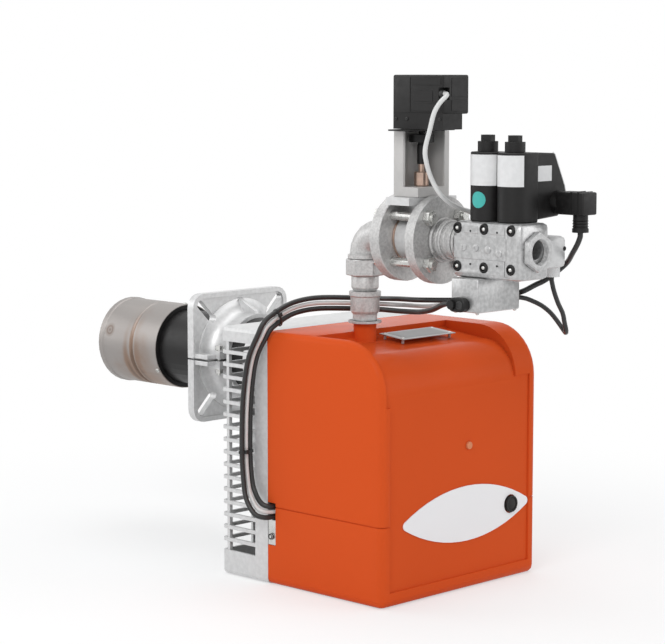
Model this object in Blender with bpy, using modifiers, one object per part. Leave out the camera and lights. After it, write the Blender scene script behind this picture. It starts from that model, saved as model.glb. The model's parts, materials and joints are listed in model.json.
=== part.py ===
"""Industrial monobloc gas burner with its gas train, built as separate pieces.

Metres, +Z up. X runs across the burner, +Y along the blast tube towards the boiler.
The origin is the middle of the casting's underside, below the burner axis.
"""
import math

import bmesh
import bpy
from mathutils import Matrix, Vector

# Shared clearances and wall thicknesses
GAP = 0.0003
COVER_WALL = 0.003
CAST_WALL = 0.004

# Casting (the burner body)
BODY_WIDTH = 0.314
BODY_HEIGHT = 0.347
BODY_DEPTH = 0.092
BODY_CORNER = 0.006
AXIS_Z = BODY_HEIGHT - 0.0655
NECK_LENGTH = 0.062
SLAT_COUNT = 17
SLAT_PITCH = 0.01747
SLAT_THICK = 0.0050
LOUVRE_FOOT = 0.0320
LOUVRE_DEPTH = 0.067
LOUVRE_WRAP = 0.055

# Plastic cover
COVER_DEPTH = 0.212
COVER_ARC = 0.068
COVER_EDGE = 0.012
COVER_DRAFT = 0.0015
RAIL_WIDTH = 0.0170
PANEL_INSET = 0.0025
SCOOP_BACK = 0.083
SCOOP_DROP = 0.012
SCOOP_FALL = 0.007
SCOOP_ARC = 0.052
SCOOP_LEFT = 0.010
SCOOP_RIGHT = 0.047
CREASE_Z = 0.108
CREASE_DEPTH = 0.0012

# Blast tube and head
TUBE_R = 0.0555
TUBE_WALL = 0.0025
TUBE_END = 0.303
HEAD_R = TUBE_R + 0.0080
HEAD_WALL = 0.002
HEAD_START = 0.295
HEAD_GROOVE = 0.350
HEAD_END = 0.426

# Mounting flange that clamps round the blast tube
FLANGE_SIZE = 0.187
FLANGE_THICK = 0.0125
FLANGE_FACE_Y = 0.1875
COLLAR_R = TUBE_R + 0.0065
COLLAR_LENGTH = 0.037
SLOT_NEAR = 0.080
SLOT_FAR = 0.111
SLOT_WIDTH = 0.0120
SPLIT = 0.003
LUG_REACH = 0.021
CLAMP_BOLT_R = 0.003

# Gas riser and train
TRAIN_X = -0.0595
RISER_Y = -0.1348
TRAIN_Z = 0.4776
RISER_R = 0.0145
NUT_AF = 0.046
DISC_R = 0.0575
DISC_THICK = 0.016
REAR_DISC_T = 0.063
DISC_SPACE = 0.045
STUD_PCD_R = 0.0425
STUD_R = 0.006

# Gas valve block
BLOCK_START = 0.181
BLOCK_LENGTH = 0.1125
BLOCK_HALF_X = 0.028
BLOCK_LOW = 0.435
BLOCK_TOP = 0.506
PORT_Z = 0.471
COIL_FIRST_T = 0.215
COIL_PITCH = 0.0446
COIL_R = 0.0217
COIL_TOP = 0.5936
PORT_LENGTH = 0.009
PORT_BORE_R = 0.0166
PORT_AF = 0.0455
MAIN_BORE_R = 0.0135
SWITCH_LOW = 0.3916
PLUG_Z = 0.5295
STUB_X = 0.065
STUB_T = 0.268
STUB_LOW = 0.434

# Servo bracket and servo
BASE_PLATE_Z = 0.5226
BASE_PLATE_THICK = 0.010
BRACKET_X = 0.060
BRACKET_Y = 0.043
BRACKET_TOP = 0.6176
STEM_R = 0.004
SERVO_TOP = 0.690

# Pieces on the cover and inside it
BUTTON_X = BODY_WIDTH / 2 - 0.055
BUTTON_Z = 0.104
BUTTON_R = 0.0085
BEZEL_R = 0.0115
LENS_X = 0.0125
LENS_LENGTH = BODY_WIDTH - 0.061
LENS_HEIGHT = 0.075
SCREW_X = 0.0156
SCREW_Z = 0.196
CLAMP_LOW = 0.055
CLAMP_HIGH = 0.090
CABLE_ROOM = 0.0235
BOSS_TOP = BODY_HEIGHT + 0.011
RATING_X = 0.106
RATING_Y = 0.045
RATING_AT = (0.0155, -0.1625, BODY_HEIGHT - 0.0082)
PLATE_THICK = 0.004
FAN_Z = 0.130
FAN_R = 0.080
DAMPER_X = 0.039 - BODY_WIDTH / 2
DAMPER_LOW = 0.090
DAMPER_HIGH = 0.220
LANCE_R = 0.0120
ELECTRODE_X = 0.0185
ELECTRODE_R = 0.0045
ARMATURE_R = 0.0093
PLUNGER_R = 0.0072

# Cables: diameters, and the middle lane of their bundle from the riser down to the clamp,
# each point with the offset to the lane beside it
LEAD_D = 0.007
THIN_LEAD_D = 0.006
BUNDLE = (((-0.0193, -0.1300, 0.3796), (0, 0, 0.0075)),
          ((-0.0183, -0.0950, 0.3775), (0, 0, 0.0075)), ((-0.0272, -0.0750, 0.3774), (0, 0, 0.0075)),
          ((-0.0706, -0.0600, 0.3796), (0, 0, 0.0075)), ((-0.1038, -0.0550, 0.3777), (0, 0, 0.0075)),
          ((-0.1322, -0.0550, 0.3716), (-0.0025, 0, 0.0071)), ((-0.1645, -0.0570, 0.3580), (-0.0054, 0, 0.0058)),
          ((-0.1705, -0.0500, 0.3420), (-0.0076, 0, 0.0022)), ((-0.1700, -0.0299, 0.3077), (-0.0075, 0, 0)),
          ((-0.1700, -0.0195, 0.2521), (-0.0075, 0, 0)), ((-0.1700, -0.0171, 0.1830), (-0.0075, 0, 0)),
          ((-0.1705, -0.0210, 0.1418), (-0.0078, 0, 0)), ((-0.1716, -0.0280, 0.1215), (-0.0082, 0, -0.0036)),
          ((-0.1725, -0.0415, 0.1070), (-0.0056, 0, -0.0072)), ((-0.1680, -0.0512, 0.1025), (-0.0022, 0, -0.0076)),
          ((-0.1575, -0.0553, 0.1012), (0, 0, -0.0072)), ((-0.1490, -0.0555, 0.1012), (0, 0, -0.0072)),
          ((-0.1430, -0.0555, 0.1012), (0, 0, -0.0072)))
BUNDLE_STEPS = 34

# Derived places
JOINT_Y = -BODY_DEPTH / 2
BACK_Y = BODY_DEPTH / 2
COVER_FRONT_Y = JOINT_Y - COVER_DEPTH
PLATE_FRONT = JOINT_Y + 0.010
DAMPER_Y = 0.006
THROTTLE_T = REAR_DISC_T + DISC_THICK + DISC_SPACE / 2
FRONT_DISC_T = REAR_DISC_T + DISC_THICK + DISC_SPACE
SEGMENTS = 20


def train_y(t):
    """Y of a point that lies t along the gas train, measured from the riser towards the inlet."""
    return RISER_Y - t


# Collections
for old in list(bpy.data.objects):
    bpy.data.objects.remove(old, do_unlink=True)
parts = bpy.data.collections.new("gas_burner")
cutters = bpy.data.collections.new("cutters")
bpy.context.scene.collection.children.link(parts)
bpy.context.scene.collection.children.link(cutters)


def material(name, colour, roughness, metallic=0.0):
    """A Principled material with one colour."""
    mat = bpy.data.materials.new(name)
    mat.use_nodes = True
    shader = mat.node_tree.nodes["Principled BSDF"]
    shader.inputs["Base Color"].default_value = (*colour, 1.0)
    shader.inputs["Roughness"].default_value = roughness
    shader.inputs["Metallic"].default_value = metallic
    mat.diffuse_color = (*colour, 1.0)
    return mat


CAST = material("cast_aluminium", (0.62, 0.62, 0.62), 0.45, 0.8)
ORANGE = material("orange_plastic", (0.72, 0.13, 0.02), 0.3)
STEEL = material("zinc_steel", (0.55, 0.55, 0.54), 0.35, 0.9)
HEAT_STEEL = material("heat_steel", (0.50, 0.44, 0.39), 0.4, 0.9)
BLACK_PAINT = material("black_paint", (0.03, 0.03, 0.03), 0.5)
BLACK_PLASTIC = material("black_plastic", (0.025, 0.025, 0.027), 0.45)
RUBBER = material("cable_sheath", (0.02, 0.02, 0.02), 0.6)
WHITE_CABLE = material("white_sheath", (0.75, 0.75, 0.73), 0.5)
WHITE_PANEL = material("white_panel", (0.72, 0.72, 0.72), 0.35)
MACHINED = material("machined_aluminium", (0.58, 0.58, 0.58), 0.3, 0.9)
BRASS = material("brass", (0.70, 0.38, 0.22), 0.35, 0.9)
GALVANISED = material("galvanised_iron", (0.42, 0.42, 0.41), 0.45, 0.85)


# Shape helpers

def link(obj, mat=None, cutter=False):
    """Put an object in its collection, with its material or as a hidden wire cutter."""
    (cutters if cutter else parts).objects.link(obj)
    if mat is not None:
        obj.data.materials.append(mat)
    if cutter:
        obj.hide_render = True
        obj.display_type = "WIRE"
    return obj


def finish(name, bm, mat=None, cutter=False, smooth=True):
    """Turn a bmesh into a named object."""
    bmesh.ops.recalc_face_normals(bm, faces=bm.faces)
    mesh = bpy.data.meshes.new(name)
    bm.to_mesh(mesh)
    bm.free()
    if smooth:
        mesh.shade_smooth()
        mesh.set_sharp_from_angle(angle=math.radians(30))
    return link(bpy.data.objects.new(name, mesh), mat, cutter)


def add_box(bm, low, high):
    """Add a box between two corners to a bmesh."""
    size = [high[i] - low[i] for i in range(3)]
    centre = [(high[i] + low[i]) / 2 for i in range(3)]
    place = Matrix.Translation(centre) @ Matrix.Diagonal((*size, 1.0))
    return bmesh.ops.create_cube(bm, size=1.0, matrix=place)["verts"]


def turn_to(axis):
    """Rotation that takes +Z to the named axis."""
    if axis == "X":
        return Matrix.Rotation(math.radians(90), 4, "Y")
    if axis == "Y":
        return Matrix.Rotation(math.radians(-90), 4, "X")
    return Matrix.Identity(4)


def add_rod(bm, centre, radius, length, axis="Z", segments=SEGMENTS, top=None):
    """Add a cylinder or cone, centred on a point along an axis, to a bmesh."""
    place = Matrix.Translation(centre) @ turn_to(axis)
    top_radius = radius if top is None else top
    return bmesh.ops.create_cone(bm, cap_ends=True, segments=segments, radius1=radius,
                                 radius2=top_radius, depth=length, matrix=place)["verts"]


def box(name, low, high, mat=None, cutter=False, bevel=0.0, segments=2):
    """A box, with rounded edges if a bevel is given."""
    bm = bmesh.new()
    add_box(bm, low, high)
    obj = finish(name, bm, mat, cutter)
    if bevel:
        round_edges(obj, bevel, segments)
    return obj


def rod(name, centre, radius, length, axis="Z", mat=None, cutter=False, segments=SEGMENTS, top=None):
    """A cylinder or cone."""
    bm = bmesh.new()
    add_rod(bm, centre, radius, length, axis, segments, top)
    return finish(name, bm, mat, cutter)


def turned(name, profile, centre, axis="Z", mat=None, cutter=False, segments=SEGMENTS):
    """A turned piece: closed rings of (radius, height) points spun round an axis.

    A profile that touches the axis is left open there.
    """
    bm = bmesh.new()
    verts = [bm.verts.new((r, 0.0, h)) for r, h in profile]
    edges = [bm.edges.new((a, b)) for a, b in zip(verts, verts[1:])]
    if profile[0][0] > 0 or profile[-1][0] > 0:
        edges.append(bm.edges.new((verts[-1], verts[0])))
    bmesh.ops.spin(bm, geom=verts + edges, cent=(0, 0, 0), axis=(0, 0, 1), dvec=(0, 0, 0),
                   angle=2 * math.pi, steps=segments, use_merge=True, use_duplicate=False)
    bmesh.ops.remove_doubles(bm, verts=bm.verts, dist=0.00001)
    bmesh.ops.transform(bm, matrix=Matrix.Translation(centre) @ turn_to(axis), verts=bm.verts)
    return finish(name, bm, mat, cutter)


def rounded_rect(width, height, radius, steps=4):
    """Outline of a rounded rectangle about the origin."""
    points = []
    for cx, cy, start in ((1, 1, 0), (-1, 1, 90), (-1, -1, 180), (1, -1, 270)):
        for i in range(steps + 1):
            a = math.radians(start + 90 * i / steps)
            points.append((cx * (width / 2 - radius) + radius * math.cos(a),
                           cy * (height / 2 - radius) + radius * math.sin(a)))
    return points


def hexagon(across_flats, turn=0.0):
    """Outline of a hexagon about the origin."""
    r = across_flats / math.sqrt(3)
    return [(r * math.cos(math.radians(60 * i + turn)), r * math.sin(math.radians(60 * i + turn)))
            for i in range(6)]


def add_plate(bm, outline, low, high, plane="XY", offset=(0.0, 0.0, 0.0)):
    """Extrude an outline between two heights, the outline lying in the named plane."""
    if plane == "XY":
        place = Matrix.Identity(4)
    elif plane == "XZ":
        place = Matrix(((1, 0, 0, 0), (0, 0, 1, 0), (0, 1, 0, 0), (0, 0, 0, 1)))
    else:
        place = Matrix(((0, 0, 1, 0), (1, 0, 0, 0), (0, 1, 0, 0), (0, 0, 0, 1)))
    place = Matrix.Translation(offset) @ place
    verts = [bm.verts.new(place @ Vector((u, v, low))) for u, v in outline]
    face = bm.faces.new(verts)
    result = bmesh.ops.extrude_face_region(bm, geom=[face])
    moved = [g for g in result["geom"] if isinstance(g, bmesh.types.BMVert)]
    shift = (place.to_3x3() @ Vector((0, 0, high - low)))
    bmesh.ops.translate(bm, verts=moved, vec=shift)
    return verts + moved


def plate(name, outline, low, high, plane="XY", offset=(0.0, 0.0, 0.0), mat=None, cutter=False,
          bevel=0.0):
    """A flat piece cut to an outline."""
    bm = bmesh.new()
    add_plate(bm, outline, low, high, plane, offset)
    obj = finish(name, bm, mat, cutter)
    if bevel:
        round_edges(obj, bevel, 1)
    return obj


def round_edges(obj, width, segments=2):
    """Round the sharp edges of an object."""
    mod = obj.modifiers.new("round", "BEVEL")
    mod.width = width
    mod.segments = segments
    mod.limit_method = "ANGLE"
    mod.angle_limit = math.radians(40)
    return mod


def cut(obj, *tools):
    """Subtract each tool from an object."""
    for tool in tools:
        mod = obj.modifiers.new("cut_" + tool.name, "BOOLEAN")
        mod.operation = "DIFFERENCE"
        mod.object = tool


def join(obj, *tools):
    """Unite each tool with an object."""
    for tool in tools:
        mod = obj.modifiers.new("join_" + tool.name, "BOOLEAN")
        mod.operation = "UNION"
        mod.object = tool


def ring(name, outer, inner, centre, length, axis, mat=None, cutter=False, segments=SEGMENTS):
    """A plain tube, centred on a point."""
    h = length / 2
    return turned(name, [(outer, h), (outer, -h), (inner, -h), (inner, h)], centre, axis, mat,
                  cutter, segments)


def arc(cx, cy, radius, start, end, steps):
    """Points on an arc, angles in degrees."""
    return [(cx + radius * math.cos(math.radians(start + (end - start) * i / steps)),
             cy + radius * math.sin(math.radians(start + (end - start) * i / steps)))
            for i in range(steps + 1)]


# Casting

def make_housing():
    """Die-cast body: open-fronted box with wrap-round air louvres and the neck for the blast tube."""
    half = BODY_WIDTH / 2
    body = box("housing", (-half, JOINT_Y - 0.01, 0), (half, BACK_Y, BODY_HEIGHT), CAST)
    round_edges(body, BODY_CORNER, 2)
    rim = box("housing_rim", (-half - 0.01, JOINT_Y - 0.02, -0.01), (half + 0.01, JOINT_Y, BODY_HEIGHT + 0.01),
              cutter=True)
    inside = box("housing_cavity", (-half + CAST_WALL, JOINT_Y - 0.03, CAST_WALL),
                 (half - CAST_WALL, BACK_Y - CAST_WALL, BODY_HEIGHT - CAST_WALL), cutter=True)
    neck_y = BACK_Y + NECK_LENGTH / 2 - 0.002
    neck = rod("housing_neck", (0, neck_y, AXIS_Z), TUBE_R + GAP + CAST_WALL, NECK_LENGTH + 0.004, "Y",
               cutter=True, segments=32)
    bore = rod("housing_bore", (0, neck_y, AXIS_Z), TUBE_R + GAP, NECK_LENGTH + 0.040, "Y",
               cutter=True, segments=32)
    slots = bmesh.new()
    for i in range(SLAT_COUNT + 1):
        z = LOUVRE_FOOT + (i - 0.5) * SLAT_PITCH
        low = (-half - 0.01, BACK_Y - LOUVRE_DEPTH, z - (SLAT_PITCH - SLAT_THICK) / 2)
        high = (-half + LOUVRE_WRAP, BACK_Y + 0.01, z + (SLAT_PITCH - SLAT_THICK) / 2)
        if i > 0:
            add_box(slots, low, high)
    louvres = finish("housing_louvres", slots, cutter=True)
    bar = box("housing_bar", (-half + 0.0015, BACK_Y - 0.014, CAST_WALL / 2),
              (-half + 0.007, BACK_Y - 0.009, BODY_HEIGHT - CAST_WALL / 2), cutter=True)
    cut(body, rim, inside)
    join(body, neck)
    cut(body, bore, louvres)
    join(body, bar)


def make_motor_plate():
    """Inner plate that closes the casting and carries the fan motor and the electrics."""
    half = BODY_WIDTH / 2 - CAST_WALL - GAP
    low = CAST_WALL + GAP
    top = BODY_HEIGHT - CAST_WALL - GAP
    panel = box("motor_plate", (-half, PLATE_FRONT, low), (half, PLATE_FRONT + PLATE_THICK, top), CAST)
    shaft = rod("plate_shaft_hole", (0, PLATE_FRONT, FAN_Z), 0.010, 0.03, "Y", cutter=True)
    pipe_hole = rod("plate_pipe_hole", (0, PLATE_FRONT, AXIS_Z), RISER_R + 0.001, 0.03, "Y", cutter=True)
    bearings = bmesh.new()
    for z in (DAMPER_LOW - 0.006, DAMPER_HIGH + 0.006):
        add_box(bearings, (DAMPER_X - 0.007, PLATE_FRONT + PLATE_THICK / 2, z - 0.003),
                (DAMPER_X + 0.007, DAMPER_Y + 0.007, z + 0.003))
    lugs = finish("plate_lugs", bearings, cutter=True)
    pin = rod("plate_pin_hole", (DAMPER_X, DAMPER_Y, AXIS_Z / 2), 0.003 + GAP, 0.5, cutter=True)
    join(panel, lugs)
    cut(panel, shaft, pipe_hole, pin)


def make_cover():
    """Orange hood: a curved shell with side rails round a recessed front and a scooped top."""
    half = BODY_WIDTH / 2

    def hood(name, inset, cutter, mat=None):
        """The hood's outer or inner form, inset by a wall."""
        front = COVER_FRONT_Y + inset
        back = JOINT_Y - GAP if inset == 0 else JOINT_Y + 0.02
        top = BODY_HEIGHT - inset
        radius = COVER_ARC - inset
        foot = 0.010
        outline = [(back, inset), (back, top)]
        outline += arc(front + radius, top - radius, radius, 90, 180, 10)
        outline += arc(front + foot, inset + foot, foot, 180, 270, 3)
        bm = bmesh.new()
        verts = add_plate(bm, outline, -half + inset, half - inset, "YZ")
        for v in verts:
            reach = (JOINT_Y - v.co.y) / COVER_DEPTH
            v.co.x *= 1 - max(reach, 0.0) * COVER_DRAFT / half
        bm.normal_update()
        rim = [e for e in bm.edges if sum(abs(f.normal.x) > 0.9 for f in e.link_faces) == 1
               and not all(abs(v.co.y - back) < 1e-6 for v in e.verts)]
        bmesh.ops.bevel(bm, geom=rim, offset=COVER_EDGE - inset / 2, segments=4, profile=0.5,
                        affect="EDGES", clamp_overlap=True, material=-1)
        return finish(name, bm, mat, cutter)

    def scoop(name, grow):
        """Space above the scooped top, grown by a wall for the inner side."""
        front = COVER_FRONT_Y + PANEL_INSET + grow
        floor = BODY_HEIGHT - SCOOP_DROP - grow
        back = JOINT_Y - SCOOP_BACK + grow
        radius = SCOOP_ARC - grow
        centre_y = COVER_FRONT_Y + PANEL_INSET + SCOOP_ARC
        centre_z = BODY_HEIGHT - SCOOP_DROP - SCOOP_FALL - SCOOP_ARC
        clear = BODY_HEIGHT + 0.03
        outline = [(back, clear), (back, floor + 0.003), (back - 0.003, floor)]
        outline += arc(centre_y, centre_z, radius, 84, 180, 10)
        outline += [(front, centre_z - 0.012), (COVER_FRONT_Y - 0.03, centre_z - 0.020),
                    (COVER_FRONT_Y - 0.03, clear)]
        return plate(name, outline, -half + SCOOP_LEFT - grow, half - SCOOP_RIGHT + grow, "YZ", cutter=True)

    def face(name, grow):
        """Space in front of the recessed front panel."""
        width = half - RAIL_WIDTH + grow
        top = BODY_HEIGHT - COVER_ARC + 0.002 + grow
        return box(name, (-width, COVER_FRONT_Y - 0.03, 0.020 - grow),
                   (width, COVER_FRONT_Y + PANEL_INSET + grow, top), cutter=True)

    cover = hood("cover", 0.0, False, ORANGE)
    inner = hood("cover_inner", COVER_WALL, True)
    cut(inner, scoop("cover_scoop_inner", COVER_WALL), face("cover_face_inner", COVER_WALL))
    boss = rod("cover_boss", (TRAIN_X, RISER_Y, (BOSS_TOP + BODY_HEIGHT) / 2 - 0.009), 0.0155,
               BOSS_TOP - BODY_HEIGHT + 0.018, cutter=True, segments=32)
    bore = rod("cover_riser_hole", (TRAIN_X, RISER_Y, BODY_HEIGHT), RISER_R + 0.0008, 0.08, cutter=True)
    crease = box("cover_crease", (-half - 0.01, COVER_FRONT_Y - 0.01, CREASE_Z - 0.0008),
                 (half + 0.01, JOINT_Y + 0.01, CREASE_Z + 0.0008), cutter=True)
    core = hood("cover_crease_core", CREASE_DEPTH, True)
    front_skin = box("cover_crease_front", (-half + RAIL_WIDTH, COVER_FRONT_Y - 0.02, 0.09),
                     (half - RAIL_WIDTH, COVER_FRONT_Y + 0.02, 0.12), cutter=True)
    cut(crease, core, front_skin)
    cut(cover, scoop("cover_scoop", 0.0), face("cover_face", 0.0))
    join(cover, boss)
    bezel = rod("cover_button_hole", (BUTTON_X, COVER_FRONT_Y, BUTTON_Z), BEZEL_R + GAP, 0.03, "Y",
                cutter=True)
    screw = rod("cover_screw_hole", (SCREW_X, COVER_FRONT_Y, SCREW_Z), 0.0025 + GAP, 0.03, "Y", cutter=True)
    notch = box("cover_cable_notch", (-half - 0.01, JOINT_Y - 0.015, CLAMP_LOW - GAP),
                (-half + 0.02, JOINT_Y + 0.01, CLAMP_HIGH + CABLE_ROOM), cutter=True)
    cut(cover, inner, crease, bore, bezel, screw, notch)


def make_cover_fittings():
    """Front plate, reset button with its bezel, cover screw, rating plate and cable clamp."""
    half = BODY_WIDTH / 2
    face = COVER_FRONT_Y + PANEL_INSET
    reach = LENS_LENGTH / 2
    rise = LENS_HEIGHT / 2
    tip = 0.006
    radius = ((reach - tip) ** 2 / (rise - tip) + rise + tip) / 2
    swing = math.degrees(math.asin((reach - tip) / (radius - tip)))
    outline = arc(0, rise - radius, radius, 90 - swing, 90 + swing, 16)
    outline += arc(-reach + tip, 0, tip, 90 + swing, 270 - swing, 4)[1:-1]
    outline += arc(0, radius - rise, radius, 270 - swing, 270 + swing, 16)
    outline += arc(reach - tip, 0, tip, 270 + swing, 450 - swing, 4)[1:-1]
    lens = plate("front_plate", outline, face - GAP - 0.0015, face - GAP, "XZ",
                 (LENS_X, 0, BUTTON_Z), WHITE_PANEL)
    hole = rod("front_plate_hole", (BUTTON_X, face, BUTTON_Z), BEZEL_R + 0.0015, 0.02, "Y", cutter=True)
    cut(lens, hole)
    turned("reset_bezel", [(BEZEL_R, 0.010), (BEZEL_R, -0.0055), (BUTTON_R + GAP, -0.0055),
                           (BUTTON_R + GAP, 0.010)], (BUTTON_X, face, BUTTON_Z), "Y", BLACK_PLASTIC)
    button = rod("reset_button", (BUTTON_X, face + 0.003, BUTTON_Z), BUTTON_R, 0.016, "Y", BLACK_PLASTIC)
    round_edges(button, 0.001, 2)
    turned("cover_screw", [(0, -0.003), (0.0050, -0.003), (0.0055, -GAP), (0.0025, -GAP),
                           (0.0025, 0.010), (0, 0.010)], (SCREW_X, face, SCREW_Z), "Y", STEEL)
    clamp = box("cable_clamp", (-half + 0.0005, JOINT_Y - 0.0145, CLAMP_LOW),
                (-half + 0.004, JOINT_Y - GAP, CLAMP_HIGH), STEEL, bevel=0.0005, segments=1)
    join(clamp, rod("clamp_screw", (-half - 0.0005, JOINT_Y - 0.0075, CLAMP_LOW + 0.012), 0.0042, 0.004, "X",
                    cutter=True))
    tilt = math.atan2(SCOOP_FALL, SCOOP_ARC + 0.02)
    panel = box("rating_plate", (-RATING_X / 2, -RATING_Y / 2, 0), (RATING_X / 2, RATING_Y / 2, 0.001),
                MACHINED)
    legs = bmesh.new()
    for sx in (-1, 1):
        for sy in (-1, 1):
            add_rod(legs, (sx * (RATING_X / 2 - 0.006), sy * (RATING_Y / 2 - 0.006), -0.0030), 0.002, 0.0072,
                    segments=10)
    feet = finish("rating_legs", legs, cutter=True)
    feet.parent = panel
    join(panel, feet)
    panel.matrix_world = Matrix.Translation(RATING_AT) @ Matrix.Rotation(tilt, 4, "X")


def make_insides():
    """Fan, damper and the electrics under the cover."""
    fan_y = PLATE_FRONT + PLATE_THICK + 0.010
    motor_y = PLATE_FRONT - GAP
    turned("fan_motor", [(0, 0), (0.042, 0), (0.042, -0.070), (0.036, -0.082), (0, -0.082)],
           (0, motor_y, FAN_Z), "Y", CAST, segments=32)
    motor = bpy.data.objects["fan_motor"]
    cut(motor, rod("motor_shaft_hole", (0, motor_y, FAN_Z), 0.0045, 0.04, "Y", cutter=True))
    hub = turned("fan_impeller", [(0, -0.026), (0.004, -0.026), (0.004, -0.001), (0.012, -0.001),
                                  (0.014, 0.0), (FAN_R, 0.0), (FAN_R, 0.002), (0, 0.002)],
                 (0, fan_y, FAN_Z), "Y", STEEL, segments=24)
    blades = bmesh.new()
    for i in range(12):
        verts = add_box(blades, (FAN_R - 0.014, -0.0008, 0.001), (FAN_R - 0.001, 0.0008, 0.030))
        spin = Matrix.Rotation(math.radians(30 * i + 7.5), 4, "Z")
        bmesh.ops.transform(blades, matrix=spin, verts=verts)
    bmesh.ops.transform(blades, matrix=Matrix.Translation((0, fan_y, FAN_Z)) @ turn_to("Y"),
                        verts=blades.verts)
    rim = ring("fan_rim", FAN_R, FAN_R - 0.015, (0, fan_y + 0.030, FAN_Z), 0.002, "Y", cutter=True,
               segments=24)
    join(hub, finish("fan_blades", blades, cutter=True), rim)
    flap = box("air_damper", (DAMPER_X - 0.0008, DAMPER_Y - 0.024, DAMPER_LOW),
               (DAMPER_X + 0.0008, DAMPER_Y + 0.024, DAMPER_HIGH), STEEL)
    join(flap, rod("damper_shaft", (DAMPER_X, DAMPER_Y, (DAMPER_LOW + DAMPER_HIGH) / 2), 0.003,
                   DAMPER_HIGH - DAMPER_LOW + 0.030, cutter=True, segments=16))
    half = BODY_WIDTH / 2
    control = box("control_box", (half - 0.107, -0.236, 0.054), (half - 0.009, -0.130, 0.154), BLACK_PLASTIC,
                  bevel=0.005)
    join(control, box("control_base", (half - 0.103, -0.135, 0.058), (half - 0.013, PLATE_FRONT - GAP, 0.150),
                      cutter=True))
    box("transformer", (0.017 - half, -0.120, 0.020), (0.087 - half, PLATE_FRONT - GAP, 0.090), BLACK_PLASTIC,
        bevel=0.004)


def screw_place(angle):
    """Where a radial screw of the head sleeve sits: its axis points outwards at this angle."""
    return (Matrix.Translation((0, HEAD_START + 0.004, AXIS_Z))
            @ Matrix.Rotation(math.radians(90 - angle), 4, "Y"))


def make_head():
    """Blast tube, stainless head sleeve and what they hold."""
    start = BACK_Y - 0.006
    ring("blast_tube", TUBE_R, TUBE_R - TUBE_WALL, (0, (start + TUBE_END) / 2, AXIS_Z),
         TUBE_END - start, "Y", BLACK_PAINT, segments=36)
    inner = HEAD_R - HEAD_WALL
    lip = TUBE_R + GAP
    profile = [(HEAD_R, HEAD_START), (HEAD_R, HEAD_GROOVE - 0.003), (HEAD_R - 0.0015, HEAD_GROOVE - 0.0015),
               (HEAD_R - 0.0015, HEAD_GROOVE + 0.0015), (HEAD_R, HEAD_GROOVE + 0.003),
               (HEAD_R, HEAD_END - 0.010), (HEAD_R + 0.0015, HEAD_END - 0.008),
               (HEAD_R + 0.0015, HEAD_END), (inner, HEAD_END), (inner, HEAD_START + 0.012),
               (lip, HEAD_START + 0.008), (lip, HEAD_START)]
    sleeve = turned("head_sleeve", profile, (0, 0, AXIS_Z), "Y", HEAT_STEEL, segments=36)
    holes = bmesh.new()
    for angle in (90, 210, 330):
        hole = add_rod(holes, (0, 0, HEAD_R), 0.0018, 0.030, segments=12)
        bmesh.ops.transform(holes, matrix=screw_place(angle), verts=hole)
    drill = finish("sleeve_drill", holes, cutter=True)
    cut(sleeve, drill)
    cut(bpy.data.objects["blast_tube"], drill)
    disc_y = HEAD_END - 0.040
    disc = turned("diffuser_disc", [(0.050, 0.001), (0.050, -0.001), (LANCE_R + GAP, -0.001),
                                    (LANCE_R + GAP, 0.001)], (0, disc_y, AXIS_Z), "Y", HEAT_STEEL,
                  segments=24)
    slots = bmesh.new()
    for i in range(8):
        verts = add_box(slots, (0.022, -0.0015, -0.01), (0.044, 0.0015, 0.01))
        bmesh.ops.transform(slots, matrix=Matrix.Rotation(math.radians(45 * i + 22.5), 4, "Z"), verts=verts)
    bmesh.ops.transform(slots, matrix=Matrix.Translation((0, disc_y, AXIS_Z)) @ turn_to("Y"),
                        verts=slots.verts)
    for sx in (-1, 1):
        add_rod(slots, (sx * ELECTRODE_X, disc_y, AXIS_Z), ELECTRODE_R + GAP, 0.02, "Y", 16)
    cut(disc, finish("diffuser_slots", slots, cutter=True))
    lance_start = PLATE_FRONT - 0.030
    turned("gas_lance", [(LANCE_R, lance_start), (LANCE_R, disc_y + 0.006), (0.006, disc_y + 0.014),
                         (0.003, disc_y + 0.014), (0.003, disc_y + 0.008), (LANCE_R - 0.002, disc_y + 0.002),
                         (LANCE_R - 0.002, lance_start)], (0, 0, AXIS_Z), "Y", STEEL)
    for name, side, tip in (("ignition_electrode", -1, 0.010), ("flame_probe", 1, 0.013)):
        turned(name, [(0, disc_y - 0.150), (ELECTRODE_R * 0.4, disc_y - 0.150),
                      (ELECTRODE_R * 0.4, disc_y - 0.130), (ELECTRODE_R, disc_y - 0.130),
                      (ELECTRODE_R, disc_y + 0.004), (ELECTRODE_R * 0.3, disc_y + 0.006),
                      (ELECTRODE_R * 0.3, disc_y + tip), (0, disc_y + tip)],
               (side * ELECTRODE_X, 0, AXIS_Z), "Y", WHITE_PANEL, segments=16)


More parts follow.
